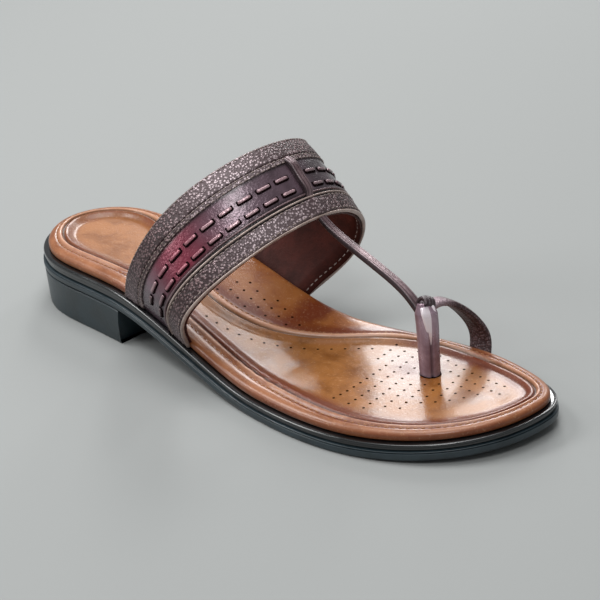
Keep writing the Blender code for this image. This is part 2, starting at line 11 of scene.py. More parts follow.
import bmesh
import bpy
import numpy as np
from mathutils import Euler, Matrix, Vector
from mathutils.bvhtree import BVHTree


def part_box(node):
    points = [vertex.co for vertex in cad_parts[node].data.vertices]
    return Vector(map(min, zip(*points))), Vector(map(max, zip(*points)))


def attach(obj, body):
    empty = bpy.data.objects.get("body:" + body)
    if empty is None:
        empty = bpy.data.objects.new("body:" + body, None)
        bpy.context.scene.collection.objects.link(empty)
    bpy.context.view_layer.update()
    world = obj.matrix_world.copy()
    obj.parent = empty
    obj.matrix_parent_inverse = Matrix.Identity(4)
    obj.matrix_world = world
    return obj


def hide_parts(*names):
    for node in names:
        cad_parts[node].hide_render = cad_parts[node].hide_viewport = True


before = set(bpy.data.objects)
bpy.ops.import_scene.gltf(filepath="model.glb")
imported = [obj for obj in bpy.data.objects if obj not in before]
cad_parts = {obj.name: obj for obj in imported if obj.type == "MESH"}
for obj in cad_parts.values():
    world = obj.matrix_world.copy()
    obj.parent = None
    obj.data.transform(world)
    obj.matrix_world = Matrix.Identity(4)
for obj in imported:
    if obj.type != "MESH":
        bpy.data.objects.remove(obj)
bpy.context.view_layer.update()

# Sole
SOLE_LENGTH = 0.270
BALL_WIDTH = 0.0904
HEEL_HEIGHT = 0.0175
HEEL_LENGTH = 0.0765
HEEL_BREAST_SKEW = 0.0030
HEEL_BREAST_SLOPE = 0.0030
HEEL_INSET = 0.0003
HEEL_TAPER = 0.0008
HEEL_BEVEL = 0.0009
TOE_SPRING = 0.0043
WAIST_START = 0.0665
TREAD_START = 0.1650
TREAD_END = 0.2000
OUTSOLE_HEEL_THICKNESS = 0.0032
OUTSOLE_THICKNESS = 0.0040
MIDSOLE_HEEL_THICKNESS = 0.0046
MIDSOLE_THICKNESS = 0.0027
MIDSOLE_INSET = 0.0005
MIDSOLE_WAIST = 0.0006

# Footbed
FOOTBED_INSET = 0.0032
RIM_HEIGHT = 0.0040
RIM_CREST = 0.0036
HEEL_BOWL_DEPTH = 0.0022
BOWL_DEPTH = 0.0013
GROOVE_DEPTH = 0.0011
GROOVE_HALF = 0.0007
VALLEY_OFFSET = 0.0038
VALLEY_DEPTH = 0.00045
RIDGE_OFFSET = 0.0021
RIDGE_HEIGHT = 0.0005
BOWL_EDGE = 0.0060
PAD_CROWN = 0.0006
TOE_LINE_OFFSET = 0.0036
TOE_LINE_DEPTH = 0.00025
PUCKER_PLACE = 0.157
PUCKER_REACH = 0.017
PUCKER_PITCH = 0.0072
PUCKER_DEPTH = 0.00024
ARCH_RISE = 0.0030
ARCH_STATION = 0.420
ARCH_SPREAD = 0.090
HOLE_SIZE = 0.0012
HOLE_PITCH = 0.0057
ROW_PITCH = 0.0050
ROW_BEND = 11.7
ROW_START = (0.2351, -0.0088)
HOLE_MARGIN = 0.0050
WAIST_HOLE_PITCH = 0.0057
WAIST_HOLE_OFFSET = 0.0095
WAIST_HOLE_SPAN = 13.5 * WAIST_HOLE_PITCH
WAIST_ROW = (0.447, 0.72)
POST_MARGIN = 0.0078

# Upper
BAND_OVERHANG = 0.0010
INSTEP_RISE = 0.0670
PANEL_WALL = 0.0020
BORDER_STEP = 0.0009
BAND_CAMBER = 0.0016
LINING = 0.0007
DASH_LENGTH = 0.0060
DASH_WIDTH = 0.0022
DASH_PITCH = 0.0092
DASH_RISE = 0.0008
DASH_END = 0.0110
STRAP_WIDTH = 0.0048
STRAP_THICKNESS = 0.0030
POST_TOP_WIDTH = 0.0098
POST_FOOT_WIDTH = 0.0082
POST_THICKNESS = 0.0078
TOE_LOOP_HEIGHT = 0.0325
RING_WIDTH = 0.0105
RING_NECK = 0.0050
RING_THICKNESS = 0.0030
KNOT_SIZE = 0.0084
STRAP_BULGE = 0.0008
STRAP_ROLL = 0.88
STITCH_LENGTH = 0.0019
STITCH_PITCH = 0.0029
THREAD = 0.0005
BAND_STITCH_PITCH = 0.0027
BAND_THREAD = 0.00055

# Gap between pieces of the sole, and how far the ends of the band and straps go below the deck
CLEARANCE = 0.0003
BURIED = 0.0002

# Ribs of the tread, in bands a metre, and the angle from which an edge of the sole is crisp
TREAD_SCALE = 90.0
CRISP_ANGLE = math.radians(32)

# How finely the pieces are divided
STATIONS = 230
GIRTHS = 260
PAD_STRIPS = 18
HEEL_POINTS = 110
SEAM_POINTS = 400

# Camera
LENS = 127.2
SENSOR = 36.0
CAMERA_PLACE = (0.7078, -0.5627, 0.4282)
CAMERA_HEADING = math.radians(44.699)
CAMERA_PITCH = math.radians(26.690)
CAMERA_ROLL = math.radians(-3.978)

# Sole outline and groove, as shares of the ball width
OutlineRow = namedtuple("OutlineRow", "station medial lateral medial_groove lateral_groove")
OUTLINE = (
    OutlineRow(0.0, 0.016, 0.016, 0.085, 0.085),
    OutlineRow(0.1, 0.219, -0.190, 0.090, 0.105),
    OutlineRow(0.2, 0.345, -0.339, 0.100, 0.130),
    OutlineRow(0.3, 0.344, -0.378, 0.170, 0.145),
    OutlineRow(0.4, 0.312, -0.418, 0.375, 0.150),
    OutlineRow(0.5, 0.326, -0.472, 0.380, 0.145),
    OutlineRow(0.6, 0.404, -0.535, 0.137, 0.140),
    OutlineRow(0.7, 0.470, -0.513, 0.115, 0.120),
    OutlineRow(0.8, 0.418, -0.369, 0.105, 0.110),
    OutlineRow(0.9, 0.310, -0.139, 0.100, 0.105),
    OutlineRow(1.0, 0.145, 0.145, 0.100, 0.100),
)

# Edges of the band across the foot, off the straight line between its two ends
GirthRow = namedtuple("GirthRow", "girth rear_along rear_across rear_up front_along front_across front_up")
BAND = (
    GirthRow(0.00, 0.000, 0.000, 0.000, 0.000, 0.000, 0.000),
    GirthRow(0.14, 0.046, -0.170, 0.304, 0.026, -0.193, 0.272),
    GirthRow(0.30, 0.103, -0.190, 0.700, 0.068, -0.162, 0.550),
    GirthRow(0.53, 0.174, 0.080, 1.010, 0.113, 0.186, 0.765),
    GirthRow(0.73, 0.128, 0.378, 0.764, 0.079, 0.415, 0.505),
    GirthRow(0.87, 0.057, 0.248, 0.382, 0.041, 0.312, 0.215),
    GirthRow(1.00, 0.000, 0.000, 0.000, 0.000, 0.000, 0.000),
)
BAND_END = {"lateral": (0.291, 0.450), "medial": (0.309, 0.475)}
DASH_ROWS = (0.465, 0.628)

OnBandRow = namedtuple("OnBandRow", "place girth lift thickness")
STRAP_ON_BAND = (
    OnBandRow(0.225, 0.557, -0.55, 0.55),
    OnBandRow(0.265, 0.556, -0.30, 0.80),
    OnBandRow(0.330, 0.554, 0.06, 0.95),
    OnBandRow(0.420, 0.550, 0.13, 1.00),
    OnBandRow(0.560, 0.544, 0.13, 1.00),
    OnBandRow(0.670, 0.540, 0.06, 0.90),
    OnBandRow(0.730, 0.537, -0.30, 0.70),
    OnBandRow(0.790, 0.536, -0.60, 0.58),
    OnBandRow(0.880, 0.533, -0.62, 0.58),
    OnBandRow(0.985, 0.530, -0.50, 0.80),
)

ToeRow = namedtuple("ToeRow", "along across up width")
STRAP_IN_AIR = (
    ToeRow(0.6345, 0.149, 1.450, 1.00),
    ToeRow(0.6945, 0.145, 1.260, 1.00),
    ToeRow(0.7395, 0.145, 1.063, 1.05),
    ToeRow(0.768, 0.142, 0.860, 1.15),
)
TOE_POST = (
    ToeRow(0.7700, 0.147, 1.030, 0.55),
    ToeRow(0.7740, 0.143, 0.900, 1.00),
    ToeRow(0.7800, 0.131, 0.500, 0.94),
    ToeRow(0.7860, 0.116, 0.000, 0.84),
)
TOE_RING = (
    ToeRow(0.7745, 0.165, 0.935, 0.30),
    ToeRow(0.7690, 0.235, 0.920, 0.55),
    ToeRow(0.7670, 0.335, 0.795, 0.88),
    ToeRow(0.7780, 0.425, 0.530, 0.98),
    ToeRow(0.7900, 0.460, 0.240, 1.00),
)
NECK_SHARES = (0.55, 0.72, 0.95, 1.0, 1.0)
RING_END = 0.797

# Where the toe post is creased, as angles round it, and how its folded end lies over its front:
# the share of the way down it, width and distance out as shares of the post's, and thickness
CREASES = (0.65, 3.80)
FOLD_SIDE = (0.90, -0.45, 0.0)
FoldRow = namedtuple("FoldRow", "down width out thickness")
POST_FOLD = (
    FoldRow(0.03, 0.62, 0.34, 0.0016),
    FoldRow(0.10, 0.66, 0.50, 0.0018),
    FoldRow(0.22, 0.50, 0.54, 0.0016),
    FoldRow(0.36, 0.28, 0.53, 0.0013),
    FoldRow(0.50, 0.05, 0.47, 0.0008),
)

# Corners of the punched fields, along as shares of sole length and across as shares of ball width
FOREFOOT_FIELD = (
    (0.703, -0.310), (0.702, -0.020), (0.690, 0.080), (0.667, 0.175), (0.672, 0.240),
    (0.760, 0.285), (0.850, 0.275), (0.915, 0.210), (0.924, 0.150), (0.905, 0.080),
    (0.892, 0.020), (0.878, -0.060), (0.835, -0.175), (0.800, -0.240), (0.765, -0.310),
)
WING_FIELD = (
    (0.385, -0.05), (0.395, 0.10), (0.470, 0.13), (0.560, 0.06), (0.600, -0.02), (0.570, -0.10),
)


# Curves


def spline(knots, values):
    """The natural cubic curve through values at the knots, as a function of an array."""
    knots = np.asarray(knots, float)
    values = np.asarray(values, float)
    gaps = np.diff(knots)
    matrix = np.eye(len(knots))
    right = np.zeros(len(knots))
    for i in range(1, len(knots) - 1):
        matrix[i, i - 1 : i + 2] = gaps[i - 1], 2 * (gaps[i - 1] + gaps[i]), gaps[i]
        right[i] = 6 * ((values[i + 1] - values[i]) / gaps[i] - (values[i] - values[i - 1]) / gaps[i - 1])
    bends = np.linalg.solve(matrix, right)

    def value(x):
        x = np.asarray(x, float)
        i = np.clip(np.searchsorted(knots, x) - 1, 0, len(gaps) - 1)
        after = x - knots[i]
        before = knots[i + 1] - x
        cubic = (bends[i] * before**3 + bends[i + 1] * after**3) / (6 * gaps[i])
        start = (values[i] / gaps[i] - bends[i] * gaps[i] / 6) * before
        end = (values[i + 1] / gaps[i] - bends[i + 1] * gaps[i] / 6) * after
        return cubic + start + end

    return value


def columns(table):
    knots = [row[0] for row in table]
    return {name: spline(knots, [getattr(row, name) for row in table]) for name in table[0]._fields[1:]}


def smooth(share):
    share = np.clip(share, 0.0, 1.0)
    return share * share * (3 - 2 * share)


def blend(a, b, share):
    return a + (b - a) * share


def bell(distance, width):
    return np.exp(-((distance / width) ** 2))


def unit(vectors):
    return vectors / np.maximum(np.linalg.norm(vectors, axis=-1, keepdims=True), 1e-12)


def distances(points):
    """How far along a line of points each of them lies."""
    return np.concatenate([[0.0], np.cumsum(np.linalg.norm(np.diff(points, axis=0), axis=1))])


EDGES = columns(OUTLINE)
OFFSETS = columns(BAND)


# Sole


def length_at(station):
    return SOLE_LENGTH * (1 - np.cos(np.pi * station)) / 2


def station_at(x):
    return np.arccos(np.clip(1 - 2 * np.asarray(x, float) / SOLE_LENGTH, -1, 1)) / np.pi


def by_side(side, name, station):
    """A column of the outline table where side is 1 (medial) or -1 (lateral)."""
    return np.where(side > 0, EDGES["medial" + name](station), EDGES["lateral" + name](station))


def outline(side, station, inset=0.0):
    """Points of the sole's outline, moved in by inset at right angles to the edge."""
    step = 1e-4
    low = np.clip(station - step, 0, 1)
    high = np.clip(station + step, 0, 1)
    run = SOLE_LENGTH * np.pi * np.sin(np.pi * station) / 2
    rise = BALL_WIDTH * (by_side(side, "", high) - by_side(side, "", low)) / (high - low)
    outward = unit(np.stack([-rise * side, run * side], axis=-1))
    edge = np.stack([length_at(station), BALL_WIDTH * by_side(side, "", station)], axis=-1)
    return edge - np.asarray(inset)[..., None] * outward


def across_at(side, x, inset):
    """How far across the outline, moved in by inset, lies at the length x."""
    x = np.asarray(x, float)
    side = np.full(x.shape, side)
    station = station_at(x)
    for _ in range(4):
        station = np.clip(station + station_at(x) - station_at(outline(side, station, inset)[..., 0]), 0, 1)
    return outline(side, station, inset)[..., 1]


def along_sole(x, at_heel, at_ball):
    return blend(at_heel, at_ball, smooth((x - WAIST_START) / (TREAD_START - WAIST_START)))


def underside(x):
    drop = smooth((x - WAIST_START) / (TREAD_START - WAIST_START))
    spring = np.maximum((x - TREAD_END) / (SOLE_LENGTH - TREAD_END), 0.0)
    return HEEL_HEIGHT * (1 - drop) + TOE_SPRING * spring**2


def outsole_height(x, share):
    return underside(x) + share * along_sole(x, OUTSOLE_HEEL_THICKNESS, OUTSOLE_THICKNESS)


def midsole_height(x, share):
    return outsole_height(x, 1) + CLEARANCE + share * along_sole(x, MIDSOLE_HEEL_THICKNESS, MIDSOLE_THICKNESS)


def deck(x):
    return midsole_height(x, 1) + CLEARANCE


def around(count=STATIONS):
    """Side and station of a ring of points that runs out along the medial edge and back."""
    there = np.arange(count + 1) / count
    back = there[-2:0:-1]
    side = np.concatenate([np.ones(count + 1), -np.ones(count - 1)])
    return side, np.concatenate([there, back])


def frame_shift():
    """From the maker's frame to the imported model's, found from the outsole."""
    side, station = around()
    edge = outline(side, station)
    low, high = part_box("outsole")
    return Vector((low.x, (low.y + high.y) / 2 - (edge[:, 1].min() + edge[:, 1].max()) / 2, 0.0))


SHIFT = frame_shift()


# Meshes


def new_object(name, data):
    made = bpy.data.objects.new(name, data)
    bpy.context.scene.collection.objects.link(made)
    return made


def make_piece(name, points, faces, material=None, numbers=None, vectors=None, links=()):
    """A mesh object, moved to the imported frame. numbers and vectors hold one value for each point."""
    mesh = bpy.data.meshes.new(name)
    mesh.from_pydata((np.asarray(points, float) + np.array(SHIFT)).tolist(), list(links), faces)
    for kind, key, table in (("FLOAT", "value", numbers), ("FLOAT_VECTOR", "vector", vectors)):
        for label, values in (table or {}).items():
            layer = mesh.attributes.new(label, kind, "POINT")
            layer.data.foreach_set(key, np.asarray(values, np.float32).ravel())
    if material:
        mesh.validate()
        mesh.shade_smooth()
        mesh.materials.append(material)
    return new_object(name, mesh)


def sheet_faces(rows, count):
    """Faces between closed rows of points."""
    faces = []
    for row in range(rows - 1):
        for column in range(count):
            a = row * count + column
            b = row * count + (column + 1) % count
            faces.append((a, b, b + count, a + count))
    return faces


def across_faces(start, count, gap=0):
    """Faces that close a ring with strips between the points that face each other. With a gap of 1 the
    ring's first and last points face each other, and without it the first point faces itself."""
    faces = []
    for i in range(count // 2):
        strip = (i, i + 1, count - i - 1 - gap, (count - i - gap) % count)
        faces.append(tuple(start + k for k in dict.fromkeys(strip)))
    return faces


def turn_out(piece):
    """Turns the faces of a closed piece outwards."""
    bm = bmesh.new()
    bm.from_mesh(piece.data)
    bmesh.ops.remove_doubles(bm, verts=bm.verts, dist=1e-7)
    bmesh.ops.recalc_face_normals(bm, faces=bm.faces)
    bm.to_mesh(piece.data)
    bm.free()
    return piece


def closed_loft(name, rings, material, numbers=None):
    """A closed piece through rings of points, with flat ends."""
    rings = np.asarray(rings, float)
    rows, count = rings.shape[:2]
    faces = sheet_faces(rows, count)
    faces.append(tuple(range(count)))
    faces.append(tuple((rows - 1) * count + c for c in range(count)))
    return turn_out(make_piece(name, rings.reshape(-1, 3), faces, material, numbers))


def finish_piece(piece, slot, *nodes):
    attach(piece, "root")
    if nodes:
        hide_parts(*nodes)
    return piece


# Materials


def colour(code):
    """A linear colour from a hexadecimal screen colour."""
    shares = [int(code[i : i + 2], 16) / 255 for i in (0, 2, 4)]
    return tuple(v / 12.92 if v <= 0.04045 else ((v + 0.055) / 1.055) ** 2.4 for v in shares) + (1.0,)


class Nodes:
    """A node tree being filled. Values for its sockets may be other sockets, and colours may be codes."""

    def __init__(self, tree):
        self.tree = tree

    def add(self, kind, settings=None, **sockets):
        node = self.tree.nodes.new(kind)
        for key, value in (settings or {}).items():
            setattr(node, key, value)
        for key, value in sockets.items():
            self.feed(node, key.replace("_", " "), value)
        return node

    def feed(self, node, key, value):
        socket = node.inputs[int(key)] if key.isdigit() else node.inputs[key]
        if isinstance(value, bpy.types.NodeSocket):
            self.tree.links.new(value, socket)
        else:
            socket.default_value = colour(value) if socket.type == "RGBA" and isinstance(value, str) else value

    def maths(self, operation, a, b=0.0, clamp=False):
        node = self.add("ShaderNodeMath", {"operation": operation, "use_clamp": clamp})
        self.feed(node, "0", a)
        self.feed(node, "1", b)
        return node.outputs[0]

    def plus(self, a, b):
        return self.maths("ADD", a, b)

    def times(self, a, b, clamp=False):
        return self.maths("MULTIPLY", a, b, clamp)

    def mix(self, share, a, b):
        node = self.add("ShaderNodeMix", {"data_type": "RGBA", "blend_type": "MIX"})
        for key, value in (("0", share), ("6", a), ("7", b)):
            self.feed(node, key, value)
        return node.outputs[2]

    def cover(self, base, *coats):
        """base under coats of colour, each as strong as a share or as the attribute of that name."""
        for share, coat in coats:
            base = self.mix(self.attribute(share) if isinstance(share, str) else share, base, coat)
        return base

    def span(self, value, low, high, out_low=0.0, out_high=1.0):
        node = self.add("ShaderNodeMapRange", {"interpolation_type": "SMOOTHSTEP"}, Value=value)
        for key, number in zip(("From Min", "From Max", "To Min", "To Max"), (low, high, out_low, out_high)):
            node.inputs[key].default_value = number
        return node.outputs[0]

    def attribute(self, label):
        return self.add("ShaderNodeAttribute", {"attribute_name": label}).outputs["Fac"]

    def place(self):
        return self.add("ShaderNodeTexCoord").outputs["Object"]

    def noise(self, scale, detail=3.0, roughness=0.5, vector=None, distortion=0.0):
        node = self.add("ShaderNodeTexNoise", Scale=scale, Detail=detail, Roughness=roughness)
        node.inputs["Distortion"].default_value = distortion
        self.feed(node, "Vector", vector if vector is not None else self.place())
        return node.outputs["Fac"]

    def group(self, tree, **sockets):
        node = self.add("ShaderNodeGroup", {"node_tree": tree})
        for key, value in sockets.items():
            self.feed(node, key.replace("_", " "), value)
        return node


def new_group(name, inputs, outputs):
    """An empty shader group with float inputs and outputs, and its two end nodes."""
    tree = bpy.data.node_groups.new(name, "ShaderNodeTree")
    for label, default in inputs:
        socket = tree.interface.new_socket(label, in_out="INPUT", socket_type="NodeSocketFloat")
        socket.default_value = default
    for label in outputs:
        tree.interface.new_socket(label, in_out="OUTPUT", socket_type="NodeSocketFloat")
    nodes = Nodes(tree)
    return tree, nodes, nodes.add("NodeGroupInput"), nodes.add("NodeGroupOutput")


def pebble_group():
    """Pebbled grain: rounded cells about 1 / Scale wide with fine grain on them."""
    inputs = (("Scale", 800.0), ("Unevenness", 0.5))
    tree, nodes, start, end = new_group("pebbled grain", inputs, ("Height", "Tops"))
    scale = start.outputs["Scale"]
    place = nodes.place()
    bend = nodes.add("ShaderNodeTexNoise", Scale=260.0, Detail=2.0, Vector=place)
    shifted = nodes.add("ShaderNodeMixRGB", Fac=0.0012, Color1=place, Color2=bend.outputs["Color"])
    cells = nodes.add("ShaderNodeTexVoronoi", {"feature": "F1"}, Vector=shifted.outputs[0], Scale=scale)
    dome = nodes.span(cells.outputs["Distance"], 0.05, 0.75, 1.0, 0.0)
    fine = nodes.noise(nodes.times(scale, 2.2), 2.0, 0.6, place)
    broad = nodes.noise(170.0, 3.0, 0.6, place)
    uneven = nodes.times(nodes.maths("SUBTRACT", broad, 0.5), start.outputs["Unevenness"])
    height = nodes.plus(nodes.plus(dome, nodes.times(fine, 0.3)), uneven)
    nodes.feed(end, "Height", height)
    nodes.feed(end, "Tops", nodes.span(height, 0.25, 1.12))
    return tree


def grain_group():
    """Smooth leather: fine pores and shallow ripples, a slow mottle from 0 to 1, and fine specks."""
    inputs = (("Scale", 1500.0),)
    tree, nodes, start, end = new_group("smooth leather grain", inputs, ("Height", "Mottle", "Specks"))
    place = nodes.place()
    scale = start.outputs["Scale"]
    pores = nodes.add("ShaderNodeTexVoronoi", {"feature": "F1"}, Vector=place, Scale=scale)
    ripple = nodes.noise(320.0, 4.0, 0.6, place, 0.6)
    nodes.feed(end, "Height", nodes.plus(nodes.times(pores.outputs["Distance"], 0.35), ripple))
    nodes.feed(end, "Mottle", nodes.span(nodes.noise(75.0, 4.0, 0.62, place, 0.4), 0.32, 0.68))
    nodes.feed(end, "Specks", nodes.span(nodes.noise(900.0, 2.0, 0.7, place), 0.55, 0.75))
    return tree


PEBBLES = pebble_group()
GRAIN = grain_group()


def new_material(name):
    """A material, its nodes and its Principled shader."""
    material = bpy.data.materials.new(name)
    material.use_nodes = True
    nodes = Nodes(material.node_tree)
    return material, nodes, material.node_tree.nodes["Principled BSDF"]


def set_shader(nodes, shader, **values):
    for key, value in values.items():
        nodes.feed(shader, key.replace("_", " "), value)


def bump(nodes, shader, height, distance, strength):
    node = nodes.add("ShaderNodeBump", Strength=strength, Distance=distance, Height=height)
    nodes.feed(shader, "Normal", node.outputs[0])


def footbed_leather():
    """Burnished leather: amber bowl and wing, tan rim, dark burnish along the seam lines, and painted shade where
    the footbed lies under the band.
    """
    material, nodes, shader = new_material("burnished footbed leather")
    grain = nodes.group(GRAIN, Scale=1250.0)
    mottle = grain.outputs["Mottle"]
    uneven = nodes.times(nodes.maths("SUBTRACT", mottle, 0.5), 0.40)
    base = nodes.cover(
        nodes.mix(mottle, "734213", "97602a"),
        ("rim", nodes.mix(mottle, "7d492a", "9e6642")),
        ("wing", nodes.mix(mottle, "81461c", "a5682f")),
        ("ridge", "d3a184"),
        # The burnish colour also paints shade on the footbed under the band.
        (nodes.span(nodes.plus(nodes.attribute("burnish"), uneven), 0.08, 0.85), "662a0c"),
        ("seam", "2b120b"),
        (nodes.times(grain.outputs["Specks"], 0.20), "dcb690"),
    )
    set_shader(nodes, shader, Base_Color=base, Roughness=nodes.span(mottle, 0.0, 1.0, 0.33, 0.42))
    set_shader(nodes, shader, Coat_Weight=0.22, Coat_Roughness=0.13, Specular_IOR_Level=0.4)
    bump(nodes, shader, grain.outputs["Height"], 0.00012, 0.8)
    return material


def pebbled_leather(name, dark, light, metal, scale):
    """Metallic pebbled leather, dark in its hollows and light on its tops. Where the sheen attribute says so it
    gets a painted reflection: lighter colours, fuller bright tops and more metal. Its neck is plain."""
    material, nodes, shader = new_material(name)
    pebbles = nodes.group(PEBBLES, Scale=scale, Unevenness=0.7)
    tops = pebbles.outputs["Tops"]
    patch = nodes.span(nodes.noise(60.0, 3.0, 0.6), 0.35, 0.7)
    # Painted reflection: the sheen attribute lightens both colours, towards 4a383b and cdbcc0, and spreads the
    # bright metal over the tops.
    sheen = nodes.attribute("sheen")
    cover = nodes.plus(nodes.span(patch, 0.0, 1.0, 0.60, 1.0), nodes.times(sheen, 0.4))
    foil_and_sheen = nodes.maths("MAXIMUM", nodes.times(tops, cover, True), nodes.times(sheen, 0.12))
    base = nodes.mix(foil_and_sheen, nodes.mix(sheen, dark, "4a383b"), nodes.mix(sheen, light, "cdbcc0"))
    base = nodes.cover(base, ("neck", "a08a92"))
    set_shader(nodes, shader, Base_Color=base, Metallic=nodes.times(foil_and_sheen, metal), Specular_IOR_Level=0.45)
    set_shader(nodes, shader, Roughness=nodes.span(tops, 0.0, 1.0, 0.42, 0.36))
    bump(nodes, shader, pebbles.outputs["Height"], 0.00034, 0.9)
    return material


def patent_leather(name, dark, light, wine, roughness):
    """Patent leather, wine where the attribute says so, and dark with painted shade where the seam attribute says
    so: beside the raised parts at its edges and on shaded stretches.
    """
    material, nodes, shader = new_material(name)
    grain = nodes.group(GRAIN, Scale=900.0)
    patch = nodes.span(nodes.noise(48.0, 3.0, 0.55), 0.35, 0.68)
    base = nodes.cover(nodes.mix(patch, dark, light), ("wine", wine), ("seam", "160709"))
    rough = nodes.span(patch, 0.0, 1.0, roughness + 0.1, roughness)
    set_shader(nodes, shader, Base_Color=base, Roughness=rough)
    set_shader(nodes, shader, Coat_Weight=0.35, Coat_Roughness=0.22, Metallic=0.3)
    bump(nodes, shader, grain.outputs["Height"], 0.00026, 0.9)
    return material


def smooth_leather(name, dark, light, roughness, metal=0.0, depth=0.00010, coat=0.2, gloss=0.5):
    """Plain dyed leather with fine grain, for linings, edges and thin straps."""
    material, nodes, shader = new_material(name)
    grain = nodes.group(GRAIN, Scale=1100.0)
    mottle = grain.outputs["Mottle"]
    # The seam attribute paints shade, towards 1c1014, in the creases of the toe post and centre strap and along the
    # strap's edges.
    base = nodes.cover(nodes.mix(mottle, dark, light), ("seam", "1c1014"))
    rough = nodes.span(mottle, 0.0, 1.0, roughness + 0.08, roughness)
    set_shader(nodes, shader, Base_Color=base, Roughness=rough)
    set_shader(nodes, shader, Metallic=metal, Coat_Weight=coat, Coat_Roughness=0.2, Specular_IOR_Level=gloss)
    bump(nodes, shader, grain.outputs["Height"], depth, 0.8)
    return material


def sole_rubber(name, dark, light, roughness, coat, depth):
    """Moulded rubber with a fine skin and light dust, ribbed where it treads on the floor."""
    material, nodes, shader = new_material(name)
    grain = nodes.group(GRAIN, Scale=1700.0)
    mottle = grain.outputs["Mottle"]
    rough = nodes.span(mottle, 0.0, 1.0, roughness, roughness + 0.1)
    set_shader(nodes, shader, Base_Color=nodes.mix(mottle, dark, light), Roughness=rough)
    set_shader(nodes, shader, Coat_Weight=coat, Coat_Roughness=0.14)
    ribs = nodes.add("ShaderNodeTexWave", {"bands_direction": "X"}, Scale=TREAD_SCALE, Vector=nodes.place())
    tread = nodes.times(nodes.span(ribs.outputs["Fac"], 0.35, 0.65, 0.0, 9.0), nodes.attribute("tread"))
    bump(nodes, shader, nodes.plus(grain.outputs["Height"], tread), depth, 0.7)
    return material


def flat_shade(name, dark, light):
    """Painted shade for the dark, unpolished inside of a hole or slot, laid on as a flat mark."""
    material, nodes, shader = new_material(name)
    base = nodes.mix(nodes.noise(1500.0, 1.0, 0.5), dark, light)
    set_shader(nodes, shader, Base_Color=base, Roughness=1.0, Specular_IOR_Level=0.05)
    return material


def plain_thread(name, code, roughness):
    material, nodes, shader = new_material(name)
    twist = nodes.noise(2600.0, 1.0, 0.5)
    shade = tuple(0.6 * v for v in colour(code)[:3]) + (1.0,)
    base = nodes.mix(nodes.span(twist, 0.4, 0.6), code, shade)
    rough = nodes.span(twist, 0.0, 1.0, roughness, roughness + 0.1)
    set_shader(nodes, shader, Base_Color=base, Roughness=rough)
    return material


FOOTBED_LEATHER = footbed_leather()
BORDER_LEATHER = pebbled_leather("pebbled border leather", "291617", "7f6364", 0.42, 900.0)
STRAP_LEATHER = pebbled_leather("textured strap leather", "352122", "785f61", 0.5, 1050.0)
PANEL_LEATHER = patent_leather("patent panel leather", "43323a", "705b66", "7c2339", 0.24)
# Lighter copy of the panel leather for the woven strips: painted highlight.
LIT_WOVEN_LEATHER = patent_leather("woven strip leather with painted highlight", "96767c", "bd9fa4", "9c5260", 0.18)
LINING_LEATHER = smooth_leather("lining leather", "36150f", "4f231c", 0.5, coat=0.0, gloss=0.2)
# Light cream for the thin front ridge and piping: painted highlight along them.
LIT_EDGE_LEATHER = smooth_leather("edge leather with painted highlight", "8f7a72", "bfada4", 0.28, 0.1)
POST_LEATHER = smooth_leather("toe post leather", "7d6570", "ab95a1", 0.24, 0.35)
# Near white leather for the post's folded strap end: painted highlight.
FOLD_HIGHLIGHT_LEATHER = smooth_leather("folded strap end with painted highlight", "d6c9cf", "efe7eb", 0.12, 0.1)
KNOT_LEATHER = smooth_leather("knot leather", "2c1e22", "4b393e", 0.32, 0.2)
FOLDED_LEATHER = smooth_leather("folded strap leather", "553f43", "8a7377", 0.28, 0.3, 0.00016)
OUTSOLE_RUBBER = sole_rubber("outsole rubber", "1b262b", "2a373d", 0.34, 0.2, 0.00008)
HEEL_RUBBER = sole_rubber("heel rubber", "1a2529", "273338", 0.36, 0.15, 0.00010)
MIDSOLE_RUBBER = sole_rubber("polished midsole rubber", "07080a", "0e1113", 0.16, 0.70, 0.00002)
# Flat dark marks of painted shade for the insides of the punched holes and slots.
HOLE_SHADE = flat_shade("punched hole", "1d0c06", "2c140a")
SLOT_SHADE = flat_shade("painted slot shade", "0b0405", "160809")
FOOTBED_THREAD = plain_thread("footbed thread", "a87448", 0.6)
UPPER_THREAD = plain_thread("upper thread", "978680", 0.4)


# Repeats with Geometry Nodes


